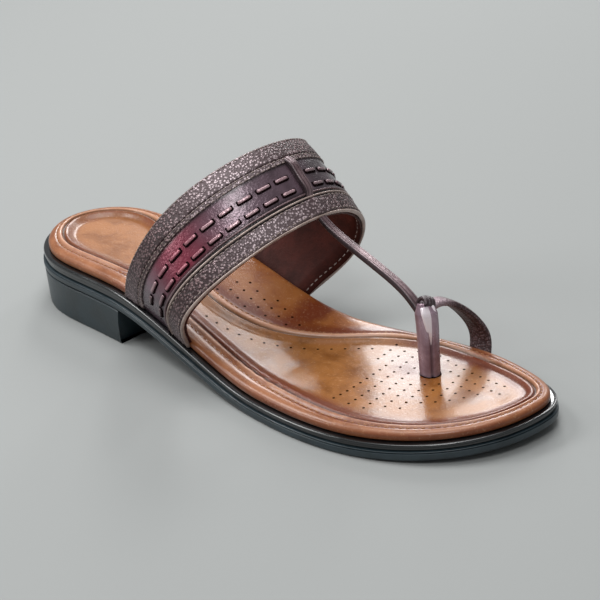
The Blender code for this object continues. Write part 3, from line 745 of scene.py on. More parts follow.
def repeat_tree(name, shape, along_line):
    """Small shapes on a line of points, or spaced along it by the pitch. Each point has an outward and,
    without a line, an along direction."""
    tree = bpy.data.node_groups.new(name, "GeometryNodeTree")
    face = tree.interface
    face.new_socket("Geometry", in_out="INPUT", socket_type="NodeSocketGeometry")
    for label in ("Length", "Width", "Height", "Pitch"):
        face.new_socket(label, in_out="INPUT", socket_type="NodeSocketFloat")
    face.new_socket("Material", in_out="INPUT", socket_type="NodeSocketMaterial")
    face.new_socket("Geometry", in_out="OUTPUT", socket_type="NodeSocketGeometry")
    nodes = Nodes(tree)
    start = nodes.add("NodeGroupInput")
    end = nodes.add("NodeGroupOutput")
    outward = nodes.add("GeometryNodeInputNamedAttribute", {"data_type": "FLOAT_VECTOR"}, Name="outward")
    if along_line:
        curve = nodes.add("GeometryNodeMeshToCurve", Mesh=start.outputs["Geometry"])
        spaced = nodes.add("GeometryNodeResampleCurve", {"mode": "LENGTH"}, Curve=curve.outputs[0])
        nodes.feed(spaced, "Length", start.outputs["Pitch"])
        points = spaced.outputs[0]
        along = nodes.add("GeometryNodeInputTangent").outputs[0]
    else:
        points = nodes.add("GeometryNodeMeshToPoints", Mesh=start.outputs["Geometry"]).outputs[0]
        named = nodes.add("GeometryNodeInputNamedAttribute", {"data_type": "FLOAT_VECTOR"}, Name="along")
        along = named.outputs[0]
    turn = nodes.add("FunctionNodeAxesToRotation", {"primary_axis": "Z", "secondary_axis": "X"})
    nodes.feed(turn, "0", outward.outputs[0])
    nodes.feed(turn, "1", along)
    if shape == "thread":
        form = nodes.add("GeometryNodeMeshUVSphere", Segments=8, Rings=6, Radius=0.5).outputs[0]
    elif shape == "disc":
        fan = {"fill_type": "TRIANGLE_FAN"}
        form = nodes.add("GeometryNodeMeshCircle", fan, Vertices=12, Radius=0.5).outputs[0]
    else:
        cube = nodes.add("GeometryNodeMeshCube", Size=(1.0, 1.0, 1.0))
        for key in ("Vertices X", "Vertices Y", "Vertices Z"):
            cube.inputs[key].default_value = 2
        soft = nodes.add("GeometryNodeSubdivisionSurface", Mesh=cube.outputs[0])
        soft.inputs["Level"].default_value = 2
        soft.inputs["Edge Crease"].default_value = 0.62
        form = soft.outputs[0]
    size = nodes.add("ShaderNodeCombineXYZ")
    for key, label in zip("XYZ", ("Length", "Width", "Height")):
        nodes.feed(size, key, start.outputs[label])
    sized = nodes.add("GeometryNodeTransform", Geometry=form)
    nodes.feed(sized, "Scale", size.outputs[0])
    placed = nodes.add("GeometryNodeInstanceOnPoints", Points=points, Instance=sized.outputs[0])
    nodes.feed(placed, "Rotation", turn.outputs[0])
    real = nodes.add("GeometryNodeRealizeInstances", Geometry=placed.outputs[0])
    shaded = nodes.add("GeometryNodeSetShadeSmooth", Geometry=real.outputs[0])
    painted = nodes.add("GeometryNodeSetMaterial", Geometry=shaded.outputs[0])
    nodes.feed(painted, "Material", start.outputs["Material"])
    nodes.feed(end, "Geometry", painted.outputs[0])
    return tree


STITCHING = repeat_tree("stitches along a seam", "thread", True)
PUNCHING = repeat_tree("punched holes", "disc", False)
WEAVING = repeat_tree("woven strips", "strip", False)


def run_nodes(piece, tree, **values):
    """Gives the piece the mesh that the tree makes from it, and removes the modifier."""
    modifier = piece.modifiers.new(tree.name, "NODES")
    modifier.node_group = tree
    for item in tree.interface.items_tree:
        if item.item_type == "SOCKET" and item.in_out == "INPUT" and item.name in values:
            modifier[item.identifier] = values[item.name]
    graph = bpy.context.evaluated_depsgraph_get()
    mesh = bpy.data.meshes.new_from_object(piece.evaluated_get(graph))
    piece.modifiers.clear()
    old = piece.data
    piece.data = mesh
    bpy.data.meshes.remove(old)
    return piece


def seam_line(name, points, outward, slot, material, pitch, thread):
    """Stitches along a line of points, given in the maker's frame."""
    links = [(i, i + 1) for i in range(len(points) - 1)]
    piece = make_piece(name, points, [], vectors={"outward": outward}, links=links)
    sizes = {"Length": STITCH_LENGTH, "Width": thread, "Height": thread}
    run_nodes(piece, STITCHING, Pitch=pitch, Material=material, **sizes)
    return finish_piece(piece, slot)


def scatter(name, points, along, outward, tree, slot, material, size, marks=None):
    """One small shape of the tree at each point, given in the maker's frame. marks are numbers a point."""
    piece = make_piece(name, points, [], None, marks, {"along": along, "outward": outward})
    run_nodes(piece, tree, Length=size[0], Width=size[1], Height=size[2], Material=material)
    return finish_piece(piece, slot)


# Sole pieces


def stacked(name, rings, material, gap=0):
    """A closed piece through level rings, with its lowest ring marked as tread and its edges crisp."""
    rows, count = len(rings), len(rings[0])
    faces = sheet_faces(rows, count)
    faces += across_faces(0, count, gap) + across_faces((rows - 1) * count, count, gap)
    tread = np.zeros(rows * count)
    tread[:count] = 1.0
    piece = turn_out(make_piece(name, np.concatenate(rings), faces, material, {"tread": tread}))
    piece.data.set_sharp_from_angle(angle=CRISP_ANGLE)
    return piece


def sole_layer(node, name, levels, height, material):
    """A sheet of the sole: levels are insets from the outline and shares of its thickness."""
    side, station = around()
    rings = []
    for inset, share in levels:
        xy = outline(side, station, inset)
        rings.append(np.column_stack([xy, height(xy[:, 0], share)]))
    return finish_piece(stacked(name, rings, material), node, node)


def make_outsole():
    levels = (
        (0.0022, 0.0), (0.0010, 0.0), (0.00055, 0.04), (0.0002, 0.12), (0.00005, 0.22),
        (0.0, 0.35), (0.0, 0.74), (0.00015, 0.80), (0.0007, 0.83), (0.0007, 0.87),
        (0.0002, 0.90), (0.0001, 0.95), (0.0003, 0.99), (0.0009, 1.0),
    )
    return sole_layer("outsole", "outsole_edge", levels, outsole_height, OUTSOLE_RUBBER)


def make_midsole():
    wall = MIDSOLE_INSET + MIDSOLE_WAIST
    levels = [(wall + 0.0012, 0.0), (wall + 0.0003, 0.03), (wall, 0.12), (wall, 0.36)]
    for angle in [math.pi * (k / 10 - 0.5) for k in range(11)]:
        levels.append((MIDSOLE_INSET + MIDSOLE_WAIST * (1 - math.cos(angle)), 0.70 + 0.26 * math.sin(angle)))
    levels += [(MIDSOLE_INSET + MIDSOLE_WAIST * 1.6, 1.0), (MIDSOLE_INSET + MIDSOLE_WAIST * 2.6, 1.0)]
    return sole_layer("midsole", "midsole_rand", levels, midsole_height, MIDSOLE_RUBBER)


def make_heel():
    """The heel block, from the lateral end of its breast round the back to the medial end."""
    ends = {-1: HEEL_LENGTH - HEEL_BREAST_SKEW / 2, 1: HEEL_LENGTH + HEEL_BREAST_SKEW / 2}
    place = np.arange(-HEEL_POINTS, HEEL_POINTS + 1)
    side = np.where(place < 0, -1, 1)
    station = station_at(np.where(side < 0, ends[-1], ends[1])) * (np.abs(place) / HEEL_POINTS)
    top = HEEL_HEIGHT - CLEARANCE
    levels = [(HEEL_TAPER + HEEL_BEVEL * 2.2, HEEL_BREAST_SLOPE + HEEL_BEVEL * 2.2, 0.0)]
    for angle in [0.5 * math.pi * k / 5 for k in range(6)]:
        inward = HEEL_BEVEL * (1 - math.sin(angle))
        levels.append((HEEL_TAPER + inward, HEEL_BREAST_SLOPE + inward * 0.6, HEEL_BEVEL * (1 - math.cos(angle))))
    for part in [k / 8 for k in range(1, 9)]:
        height = blend(HEEL_BEVEL, top - 0.0006, part)
        levels.append((HEEL_TAPER * (1 - part), HEEL_BREAST_SLOPE * (1 - part), height))
    levels += [(0.0004, 0.0002, top - 0.0002), (0.0010, 0.0008, top)]
    rings = []
    for inset, breast, height in levels:
        xy = outline(side, station, HEEL_INSET + inset)
        for index, turn in ((0, -1), (-1, 1)):
            x = ends[turn] - breast
            xy[index] = x, across_at(turn, x, HEEL_INSET + inset)
        drop = np.maximum(underside(xy[:, 0]) - HEEL_HEIGHT, -0.001) if height > HEEL_HEIGHT / 2 else 0.0
        rings.append(np.column_stack([xy, np.full(len(side), height) + drop]))
    return finish_piece(stacked("heel_block", rings, HEEL_RUBBER, 1), "heel", "heel")


# Footbed


def groove_inset(side, station):
    return BALL_WIDTH * by_side(side, "_groove", station)


def pinch(side, station):
    """How much narrower the roll and ridge outside the groove are where the rim is narrow."""
    room = groove_inset(side, station) - FOOTBED_INSET - 0.4 * RIM_CREST
    return np.clip(room / 0.0070, 0.45, 1.0)


def footbed_height(side, station, inset, x):
    """Height of the footbed's top above the deck, and the signed distance in from the groove."""
    groove = groove_inset(side, station)
    crest = FOOTBED_INSET + RIM_CREST
    edge = np.clip((inset - FOOTBED_INSET) / RIM_CREST, 0, 1)
    roll = 0.45 + 0.55 * np.sqrt(np.maximum(1 - (1 - edge) ** 2, 0))
    beyond = np.clip((inset - crest) / np.maximum(groove - crest, 1e-4), 0, 1)
    lift = np.where(side > 0, ARCH_RISE * bell(station - ARCH_STATION, ARCH_SPREAD), 0.0)
    lift = lift * (1 - beyond) ** 1.4
    height = (RIM_HEIGHT + lift) * roll
    inward = inset - groove
    squeeze = np.where(inward < 0, pinch(side, station), 1.0)
    place = inward / squeeze
    height -= VALLEY_DEPTH * bell(place + VALLEY_OFFSET, 0.0009) * squeeze
    height += RIDGE_HEIGHT * bell(place + RIDGE_OFFSET, 0.0012) * squeeze
    height -= GROOVE_DEPTH * bell(place, GROOVE_HALF)
    depth = along_sole(x, HEEL_BOWL_DEPTH, BOWL_DEPTH)
    height -= depth * smooth((inward - 0.0006) / (BOWL_EDGE - 0.0006))
    height -= TOE_LINE_DEPTH * bell(inward - TOE_LINE_OFFSET, 0.0010) * smooth((x - TREAD_END) / 0.030)
    return height, inward


def pucker(side, x, inward):
    """Small puckers in the stitched seam on the outer side, just in front of the band."""
    near = np.where(side < 0, bell(x - PUCKER_PLACE, PUCKER_REACH), 0.0) * bell(inward - 0.0004, 0.0034)
    return PUCKER_DEPTH * near * np.sin(2 * math.pi * x / PUCKER_PITCH)


def footbed_marks(points, sides, stations, inward, inset):
    """How far each point of the footbed is burnished, seam, ridge, rim and arch wing, from 0 to 1. The burnish mark
    also carries painted shade on the footbed under the band.
    """
    outer = np.where(inward < 0, inward / pinch(sides, stations), inward)
    x, y = points[:, 0], points[:, 1]
    along = station_at(x)
    toe = toe_point(TOE_POST[3])
    from_post = np.hypot(x - toe[0] + 0.008, (y - toe[1] - 0.002) * 0.9)
    shade_under_band = smooth((x - 0.075) / 0.012) * smooth((0.140 + y * 0.35 - x) / 0.014)
    arch = np.where(sides > 0, smooth((along - 0.36) / 0.08) * (1 - smooth((along - 0.60) / 0.05)), 0.0)
    waist = np.where(sides < 0, bell(x - 0.150, 0.035), 0.0)
    burnish_and_shade = (
        np.where(outer > 0, bell(outer - 0.0012, 0.0056), 0.0) * (1 - 0.8 * arch),
        0.9 * arch * bell(outer + 0.0060, 0.0050) * smooth((-outer - 0.0034) / 0.0012),
        0.8 * arch * bell(x - 0.141, 0.009) * smooth((-outer - 0.0050) / 0.0040),
        0.42 * bell(outer + 0.0022, 0.0036) * (1 - 0.8 * arch),
        0.70 * bell(outer + VALLEY_OFFSET + 0.0002, 0.0018) * (1 - 0.6 * waist) * (1 - arch),
        0.90 * bell(from_post, 0.0125),
        # Painted shade on the footbed under the band.
        0.22 * shade_under_band,
        0.50 * bell(inset - FOOTBED_INSET, 0.0011),
    )
    heel_only = 1 - smooth((x - 0.055) / 0.02)
    wing = np.where(sides > 0, smooth((along - 0.33) / 0.05) * (1 - smooth((along - 0.59) / 0.06)), 0.0)
    wing = wing * smooth((-outer - 0.0035) / 0.004)
    rim = smooth((-outer - 0.0006) / 0.0008) * (1 - wing)
    toe_line = bell(outer - TOE_LINE_OFFSET, 0.0008) * smooth((x - TREAD_END) / 0.030)
    heel_pad = heel_only * smooth((outer - 0.004) / 0.003)
    marks = {
        "burnish": np.max(burnish_and_shade, axis=0) * (1 - 0.45 * heel_only),
        "seam": 0.9 * bell(outer, 0.00055) + 0.30 * toe_line,
        "ridge": 0.60 * bell(outer + RIDGE_OFFSET * 0.75, 0.0014) + 0.10 * heel_pad,
        "rim": rim + 0.22 * heel_pad,
        "wing": wing,
    }
    return {label: np.clip(values, 0, 1) for label, values in marks.items()}


def make_footbed():
    """Rings from the footbed's lower edge over its rim and groove into the bowl, then strips across it."""
    side, station = around()
    count = len(side)
    groove = groove_inset(side, station)
    squeeze = pinch(side, station)
    crest = FOOTBED_INSET + RIM_CREST
    rings, insets, inwards = [], [], []

    def add_ring(inset, height=1.0, soft=0):
        xy = outline(side, station, inset)
        for _ in range(soft):
            xy = (np.roll(xy, 1, axis=0) + xy * 2 + np.roll(xy, -1, axis=0)) / 4
        top, inward = footbed_height(side, station, inset, xy[:, 0])
        top = (top + pucker(side, xy[:, 0], inward)) * height
        rings.append(np.column_stack([xy, deck(xy[:, 0]) + top]))
        insets.append(inset)
        inwards.append(inward)

    for more, height in ((0.0006, 0.0), (0.0001, 0.10), (0.0, 0.40)):
        add_ring(np.full(count, FOOTBED_INSET + more), height)
    for share in (0.0, 0.01, 0.03, 0.07, 0.13, 0.21, 0.31, 0.43, 0.57, 0.75):
        add_ring(np.full(count, FOOTBED_INSET + RIM_CREST * share))
    reach = np.maximum(groove - 0.0048 * squeeze, crest * 0.75)
    start = np.minimum(np.full(count, crest), reach)
    for share in (0.0, 0.2, 0.4, 0.6, 0.8):
        add_ring(blend(start, reach, share))
    for step in (4.8, 4.4, 4.1, 3.8, 3.5, 3.2, 2.8, 2.4, 2.1, 1.8, 1.4, 1.1, 0.85, 0.65, 0.45, 0.25):
        add_ring(groove - step / 1000 * squeeze)
    for step in (0.0, 0.2, 0.4, 0.6, 0.8, 1.1, 1.5, 2.0, 2.5, 2.9, 3.3, 3.6, 3.9, 4.3, 4.8, 5.4, 6.0):
        add_ring(groove + step / 1000, 1.0, int(max(step - 1.0, 0) * 5))
    rows = len(rings)
    faces = sheet_faces(rows, count) + across_faces(0, count)
    points = list(np.concatenate(rings))
    sides, stations = list(np.tile(side, rows)), list(np.tile(station, rows))
    insets, inwards = list(np.concatenate(insets)), list(np.concatenate(inwards))

    last = (rows - 1) * count
    index = {}
    for i in range(STATIONS + 1):
        near, far = last + i, last + (count - i) % count
        index[i, 0], index[i, PAD_STRIPS] = near, far
        a, b = points[near], points[far]
        width = float(np.linalg.norm(b - a))
        crown = PAD_CROWN * smooth((a[0] - TREAD_START * 0.8) / 0.05) * smooth((width - 0.010) / 0.035)
        for k in range(1, PAD_STRIPS):
            if i in (0, STATIONS):
                index[i, k] = near
                continue
            share = k / PAD_STRIPS
            room = min(share, 1 - share) * width
            index[i, k] = len(points)
            point = blend(a, b, share)
            point[2] += crown * math.sin(math.pi * share) ** 2
            points.append(point)
            sides.append(1.0 if share < 0.5 else -1.0)
            stations.append(station[i])
            inwards.append(BOWL_EDGE + room)
            insets.append(0.03 + room)
    for i in range(STATIONS):
        for k in range(PAD_STRIPS):
            corners = (index[i, k], index[i + 1, k], index[i + 1, k + 1], index[i, k + 1])
            corners = tuple(dict.fromkeys(corners))
            if len(corners) > 2:
                faces.append(corners)
    marks = footbed_marks(*(np.array(values) for values in (points, sides, stations, inwards, insets)))
    piece = turn_out(make_piece("footbed_leather", points, faces, FOOTBED_LEATHER, marks))
    return finish_piece(piece, "footbed", "footbed")


def surface_of(piece):
    """Finds the top of a piece in the maker's frame: heights and outward directions at points across."""
    tree = BVHTree.FromObject(piece, bpy.context.evaluated_depsgraph_get())

    def find(xy, lift):
        points, outward = [], []
        for x, y in xy:
            above = Vector((x, y, 0.2)) + SHIFT
            hit, normal, _, _ = tree.ray_cast(above, Vector((0, 0, -1)))
            if hit is None:
                continue
            points.append(hit - SHIFT + normal * lift)
            outward.append(normal)
        return np.array(points), np.array(outward)

    return find


def inside_field(corners, x, y):
    """Whether a point lies inside the closed outline through the corners."""
    inside = False
    for (xa, ya), (xb, yb) in zip(corners, corners[1:] + corners[:1]):
        if (ya > y) != (yb > y) and x < (xb - xa) * (y - ya) / (yb - ya) + xa:
            inside = not inside
    return inside


def punch_footbed(footbed):
    """Holes in staggered rows over the forefoot and the arch wing, and one row across the waist, each a flat dark
    disc of painted shade.
    """
    spots = []
    post = toe_point(TOE_POST[3])
    side, station = around()
    groove = groove_inset(side, station)
    pad, roll = (outline(side, station, groove + way * HOLE_MARGIN).tolist() for way in (1, -1))
    for field, in_pad, bend in ((FOREFOOT_FIELD, True, ROW_BEND), (WING_FIELD, False, 0.0)):
        corners = [(SOLE_LENGTH * along, BALL_WIDTH * across) for along, across in field]
        for row in range(-1, 34):
            for column in range(-24, 9):
                along = (column + 0.5 * (row % 2)) * HOLE_PITCH
                back = ROW_PITCH * row + bend * along**2
                x = ROW_START[0] + (along - back) * math.sqrt(0.5)
                y = ROW_START[1] + (along + back) * math.sqrt(0.5)
                clear = math.hypot(x - post[0], y - post[1]) > POST_MARGIN
                leather = inside_field(pad, x, y) if in_pad else not inside_field(roll, x, y)
                if clear and leather and inside_field(corners, x, y):
                    spots.append((x, y))
    station = np.linspace(*WAIST_ROW, 200)
    side = np.ones(200)
    row = outline(side, station, groove_inset(side, station) + WAIST_HOLE_OFFSET)
    run = distances(row)
    for distance in np.arange(0.0, min(run[-1], WAIST_HOLE_SPAN), WAIST_HOLE_PITCH):
        x, y = np.interp(distance, run, row[:, 0]), np.interp(distance, run, row[:, 1])
        if min((math.hypot(x - a, y - b) for a, b in spots), default=1.0) > 0.6 * WAIST_HOLE_PITCH:
            spots.append((x, y))
    points, outward = surface_of(footbed)(spots, 0.00004)
    along = np.tile((1.0, 0.0, 0.0), (len(points), 1))
    size = (HOLE_SIZE, HOLE_SIZE, HOLE_SIZE)
    scatter("footbed_hole_shades", points, along, outward, PUNCHING, "footbed", HOLE_SHADE, size)


def post_slot_shade(footbed):
    """Painted shade of the slot in the footbed that the toe post goes down into: a flat dark disc round its foot.
    """
    post = toe_point(TOE_POST[3])
    points, outward = surface_of(footbed)([(post[0], post[1])], 0.00012)
    size = (POST_FOOT_WIDTH * 1.16, POST_THICKNESS * 1.16, POST_THICKNESS)
    scatter("post_slot_shade", points, [(1.0, 0.0, 0.0)], outward, PUNCHING, "footbed", SLOT_SHADE, size)


def stitch_footbed(footbed):
    """Thread along the valley beside the rim."""
    side, station = around()
    find = surface_of(footbed)
    inset = groove_inset(side, station) - VALLEY_OFFSET * pinch(side, station)
    xy = outline(side, station, inset)
    points, outward = find(np.concatenate([xy, xy[:1]]), 0.0001)
    seam_line("footbed_stitches", points, outward, "footbed", FOOTBED_THREAD, STITCH_PITCH, THREAD)


# Upper


def band_end(side, place):
    rear, front = BAND_END["medial" if side > 0 else "lateral"]
    x = SOLE_LENGTH * blend(rear, front, place)
    y = across_at(side, x, FOOTBED_INSET - BAND_OVERHANG)
    return np.stack([x, y, deck(x)], axis=-1)


BAND_PLACES = np.linspace(-0.02, 1.02, 105)
BAND_ENDS = {side: band_end(side, BAND_PLACES) for side in (-1, 1)}


def ends_at(side, place):
    return np.stack([np.interp(place, BAND_PLACES, BAND_ENDS[side][:, axis]) for axis in range(3)], axis=-1)


def band_middle(girth, place):
    chord = blend(ends_at(-1, place), ends_at(1, place), girth[..., None])
    sizes = (("along", SOLE_LENGTH), ("across", BALL_WIDTH), ("up", INSTEP_RISE))
    offsets = [size * blend(OFFSETS["rear_" + n](girth), OFFSETS["front_" + n](girth), place) for n, size in sizes]
    return chord + np.stack(offsets, axis=-1)


def band_normal(girth, place):
    step = 0.01
    along = band_middle(girth, place + step) - band_middle(girth, place - step)
    across = band_middle(np.clip(girth + step, 0, 1), place) - band_middle(np.clip(girth - step, 0, 1), place)
    normal = unit(np.cross(along, across))
    near_end = 1 - smooth(np.minimum(girth, 1 - girth) / 0.06)
    normal[..., 2] *= 1 - near_end
    return unit(normal)


def band_point(girth, place, level):
    """Points of the band: girth across the foot, place from rear to front, level out from the border's top."""
    girth, place, level = np.broadcast_arrays(*(np.asarray(v, float) for v in (girth, place, level)))
    normal = band_normal(girth, place)
    camber = BAND_CAMBER * 4 * place * (1 - place) * np.sin(np.pi * girth)
    return band_middle(girth, place) + normal * (camber + level)[..., None]


def toe_point(row):
    x = SOLE_LENGTH * row.along
    return np.array([x, BALL_WIDTH * row.across, float(deck(x)) + TOE_LOOP_HEIGHT * row.up])


def strap_girth(place):
    return float(np.interp(place, [row.place for row in STRAP_ON_BAND], [row.girth for row in STRAP_ON_BAND]))


def wine_share(girth):
    """How far the panel's colour has turned from brown to wine, along the band."""
    return np.clip(0.9 * bell(girth - 0.255, 0.080) + 0.7 * bell(girth - 0.84, 0.09), 0, 1)


def in_shade(girth):
    """How much painted shade darkens the panel: more low on the outer side and past the centre strap."""
    low = 0.35 * (1 - smooth((girth - 0.03) / 0.10))
    return np.maximum(low, 0.5 * smooth((girth - 0.545) / 0.03) * (1 - smooth((girth - 0.85) / 0.1)))


def painted_reflection(girth):
    """Painted reflection on the borders: how far their colour is lightened, low on the outer side and over the top
    of the foot.
    """
    return np.clip(0.6 * bell(girth, 0.12) + 0.95 * bell(girth - 0.43, 0.12), 0, 1)


def band_layer(name, profile, material, painted_shades=None, bulge=0.0):
    """A closed strip of the band: profile is a loop of (place, level in millimetres) swept over the foot."""
    places = np.array([place for place, _ in profile])
    levels = np.array([level for _, level in profile]) / 1000
    girth = np.linspace(0.0, 1.0, GIRTHS)[:, None]
    over_strap = bulge * bell(girth - strap_girth(0.88), 0.020) * (levels[None, :] > -0.0012)
    rings = band_point(girth, places[None, :], levels[None, :] + over_strap)
    for end in (0, -1):
        rings[end, :, 2] = deck(rings[end, :, 0]) - BURIED
    # The sheen attribute is a painted reflection on the pebbled borders.
    attributes = {"sheen": np.tile(painted_reflection(girth), (1, len(places)))}
    if painted_shades is not None:
        # Painted shade: the seam attribute darkens the panel beside the raised parts at its edges and, through
        # in_shade, on its shaded stretches.
        creased = np.interp(places, *painted_shades)[None, :]
        attributes["seam"] = np.maximum(np.tile(creased, (GIRTHS, 1)), in_shade(girth))
        attributes["wine"] = np.tile(wine_share(girth), (1, len(places)))
    piece = closed_loft(name, rings, material, attributes)
    return finish_piece(piece, "upper", "upper")


def rounded_strip(rear, front, top, base, roll, crown, steps):
    """Loop of a strip whose edges roll over: from its rear to its front edge on top, back underneath."""
    turns = [0.5 * math.pi * k / 5 for k in range(1, 6)]
    corner = [(roll * (1 - math.cos(turn)), blend(base, top, math.sin(turn))) for turn in turns]
    loop = [(rear, base)] + [(rear + inward, level) for inward, level in corner]
    for k in range(1, steps):
        share = k / steps
        loop.append((blend(rear + roll, front - roll, share), top + crown * math.sin(math.pi * share)))
    loop += [(front - inward, level) for inward, level in reversed(corner)]
    return loop + [(blend(front, rear, k / 6), base) for k in range(6)]


def round_loop(middle, half, level, rise, sides=14):
    """Loop of a round cord laid along the band."""
    turns = [2 * math.pi * k / sides for k in range(sides)]
    return [(middle + half * math.cos(turn), level + rise * math.sin(turn)) for turn in turns]


def make_band():
    """Borders, doubled strip, panel, ridges, piped edges and lining of the instep band."""
    step = BORDER_STEP * 1000
    wall = (PANEL_WALL + BORDER_STEP) * 1000
    lining = wall - LINING * 1000
    band_layer("rear_border", rounded_strip(0.004, 0.243, 0.0, -lining, 0.018, 0.10, 22), BORDER_LEATHER)
    band_layer("doubled_strip", rounded_strip(0.236, 0.308, -0.32, -step - 0.6, 0.010, 0.12, 8), BORDER_LEATHER)
    # Painted shade on the panel beside the doubled strip and the rear ridge, as shares at places across the band.
    panel_edge_shade = ([0.30, 0.318, 0.34, 0.66, 0.685, 0.70], [1.0, 0.6, 0.0, 0.0, 0.6, 1.0])
    panel = rounded_strip(0.225, 0.79, -step, -lining, 0.02, 0.12, 48)
    band_layer("patent_panel", panel, PANEL_LEATHER, panel_edge_shade)
    border = rounded_strip(0.776, 0.975, 0.0, -lining, 0.014, 0.10, 20)
    band_layer("front_border", border, BORDER_LEATHER, None, STRAP_BULGE)
    band_layer("rear_ridge", round_loop(0.709, 0.0105, -0.81, 0.85), FOLDED_LEATHER)
    # The front ridge and piping are coloured light as painted highlight.
    band_layer("front_ridge", round_loop(0.753, 0.0110, -0.65, 0.85), LIT_EDGE_LEATHER)
    band_layer("front_piping", round_loop(0.984, 0.0135, -0.75, 0.95), LIT_EDGE_LEATHER)
    band_layer("band_lining", rounded_strip(0.008, 0.990, -lining + 0.05, -wall, 0.006, 0.0, 40), LINING_LEATHER)


def band_seams():
    """Stitch lines along the band's borders and its lining."""
    girth = np.linspace(0.012, 0.988, SEAM_POINTS)
    wall = PANEL_WALL + BORDER_STEP
    lines = (
        ("rear_edge_stitches", 0.030, 0.00012, 1),
        ("strip_rear_stitches", 0.252, -0.00018, 1),
        ("strip_front_stitches", 0.296, -0.00022, 1),
        ("front_border_stitches", 0.948, 0.00012, 1),
        ("front_ridge_stitches", 0.788, 0.00008, 1),
        ("lining_stitches", 0.940, -wall - 0.00008, -1),
    )
    for name, place, level, way in lines:
        places = np.full(len(girth), place)
        points = band_point(girth, places, level)
        outward = band_normal(girth, places) * way
        seam_line(name, points, outward, "upper", UPPER_THREAD, BAND_STITCH_PITCH, BAND_THREAD)


def dash_places():
    """Middles of the woven strips: place, girth and directions, evenly out from the centre strap."""
    spots, along, outward, taken = [], [], [], []
    girths = np.linspace(0.0, 1.0, 1201)
    for place in DASH_ROWS:
        line = band_point(girths, np.full(1201, place), np.full(1201, -BORDER_STEP))
        run = distances(line)
        crossing = float(np.interp(strap_girth(place), girths, run))
        first = STRAP_WIDTH / 2 + DASH_PITCH - DASH_LENGTH / 2
        for direction in (-1, 1):
            room = crossing if direction < 0 else run[-1] - crossing
            for n in range(int((room - first - DASH_END) / DASH_PITCH) + 1):
                girth = float(np.interp(crossing + direction * (first + n * DASH_PITCH), run, girths))
                pair = band_point(np.array([girth - 0.004, girth + 0.004]), place, -BORDER_STEP + 0.00008)
                spots.append((pair[0] + pair[1]) / 2)
                along.append(unit(pair[1] - pair[0]))
                outward.append(band_normal(np.array([girth]), np.array([place]))[0])
                taken.append(girth)
    return np.array(spots), np.array(along), np.array(outward), np.array(taken)


def weave_strips():
    """Raised woven strips, wine ones apart from brown ones, coloured lighter than the panel as a painted highlight,
    with dark slots of painted shade at their ends, a painted shadow along their front, and painted shade on those
    low on the outer side.
    """
    spots, along, outward, girths = dash_places()
    size = (DASH_LENGTH * 1.02, DASH_WIDTH * 0.56, DASH_RISE * 2.4)
    # Painted shade: strips low on the outer side are darkened.
    painted_low_shade = 0.7 * (1 - smooth((girths - 0.08) / 0.12))
    marks = {"wine": wine_share(girths), "seam": np.maximum(painted_low_shade, in_shade(girths))}
    scatter("woven_strips", spots + outward * 0.00012, along, outward, WEAVING, "upper", LIT_WOVEN_LEATHER, size, marks)
    forward = np.cross(along, outward)
    forward *= np.sign(forward[:, :1])
    # Painted shade: dark bars at both ends of each strip, where it goes into the panel.
    ends = np.concatenate([spots + along * DASH_LENGTH * 0.54, spots - along * DASH_LENGTH * 0.54])
    twice, ways = np.concatenate([outward, outward]), np.concatenate([along, along])
    size = (0.0009, DASH_WIDTH * 0.95, 0.00035)
    scatter("weave_slot_shades", ends + twice * 0.00010, ways, twice, WEAVING, "upper", SLOT_SHADE, size)
    # Painted shadow: a dark strip along the front side of each woven strip.
    shade = spots + forward * DASH_WIDTH * 0.46 + outward * 0.00008
    size = (DASH_LENGTH * 1.05, DASH_WIDTH * 0.36, 0.00035)
    scatter("weave_strip_shadows", shade, along, outward, WEAVING, "upper", SLOT_SHADE, size)


# Straps in the air


def swept(name, points, widths, thicknesses, hint, section, material, steps, foot=False, painted_shades=None):
    """A strap along a smooth line: section is a loop of (across, out) shares of width and thickness."""
    points, hint = np.asarray(points, float), np.asarray(hint, float)
    run = distances(points)
    at = np.linspace(0.0, run[-1], steps + 1)
    centre = np.stack([spline(run, points[:, axis])(at) for axis in range(3)], axis=-1)
    ahead = unit(np.gradient(centre, axis=0))
    side = unit(hint - ahead * (ahead * hint).sum(-1, keepdims=True))
    out = np.cross(ahead, side)
    width = np.interp(at, run, widths)
    thickness = np.interp(at, run, thicknesses)
    across, level = np.asarray(section, float).T
    rings = (
        centre[:, None]
        + side[:, None] * (across * width[:, None])[..., None]
        + out[:, None] * (level * thickness[:, None])[..., None]
    )
    if foot:
        rings[-1, :, 2] = deck(rings[-1, :, 0]) - BURIED
    # The seam attribute here carries painted shade for each point of the section.
    numbers = {"seam": np.tile(painted_shades, (len(at), 1))} if painted_shades else None
    return closed_loft(name, rings, material, numbers)


def oval(sides, power=0.7, dents=(), depth=0.0, dent_width=0.07):
    """A flattened round section. dents are places across the outer face where it is creased."""
    loop = []
    for k in range(sides):
        angle = 2 * math.pi * (k + 0.5) / sides
        across = math.copysign(abs(math.cos(angle)) ** power, math.cos(angle)) / 2
        out = math.copysign(abs(math.sin(angle)) ** power, math.sin(angle)) / 2
        if out > 0:
            out -= sum(depth * math.exp(-(((across - dent) / dent_width) ** 2)) for dent in dents)
        loop.append((across, out))
    return loop


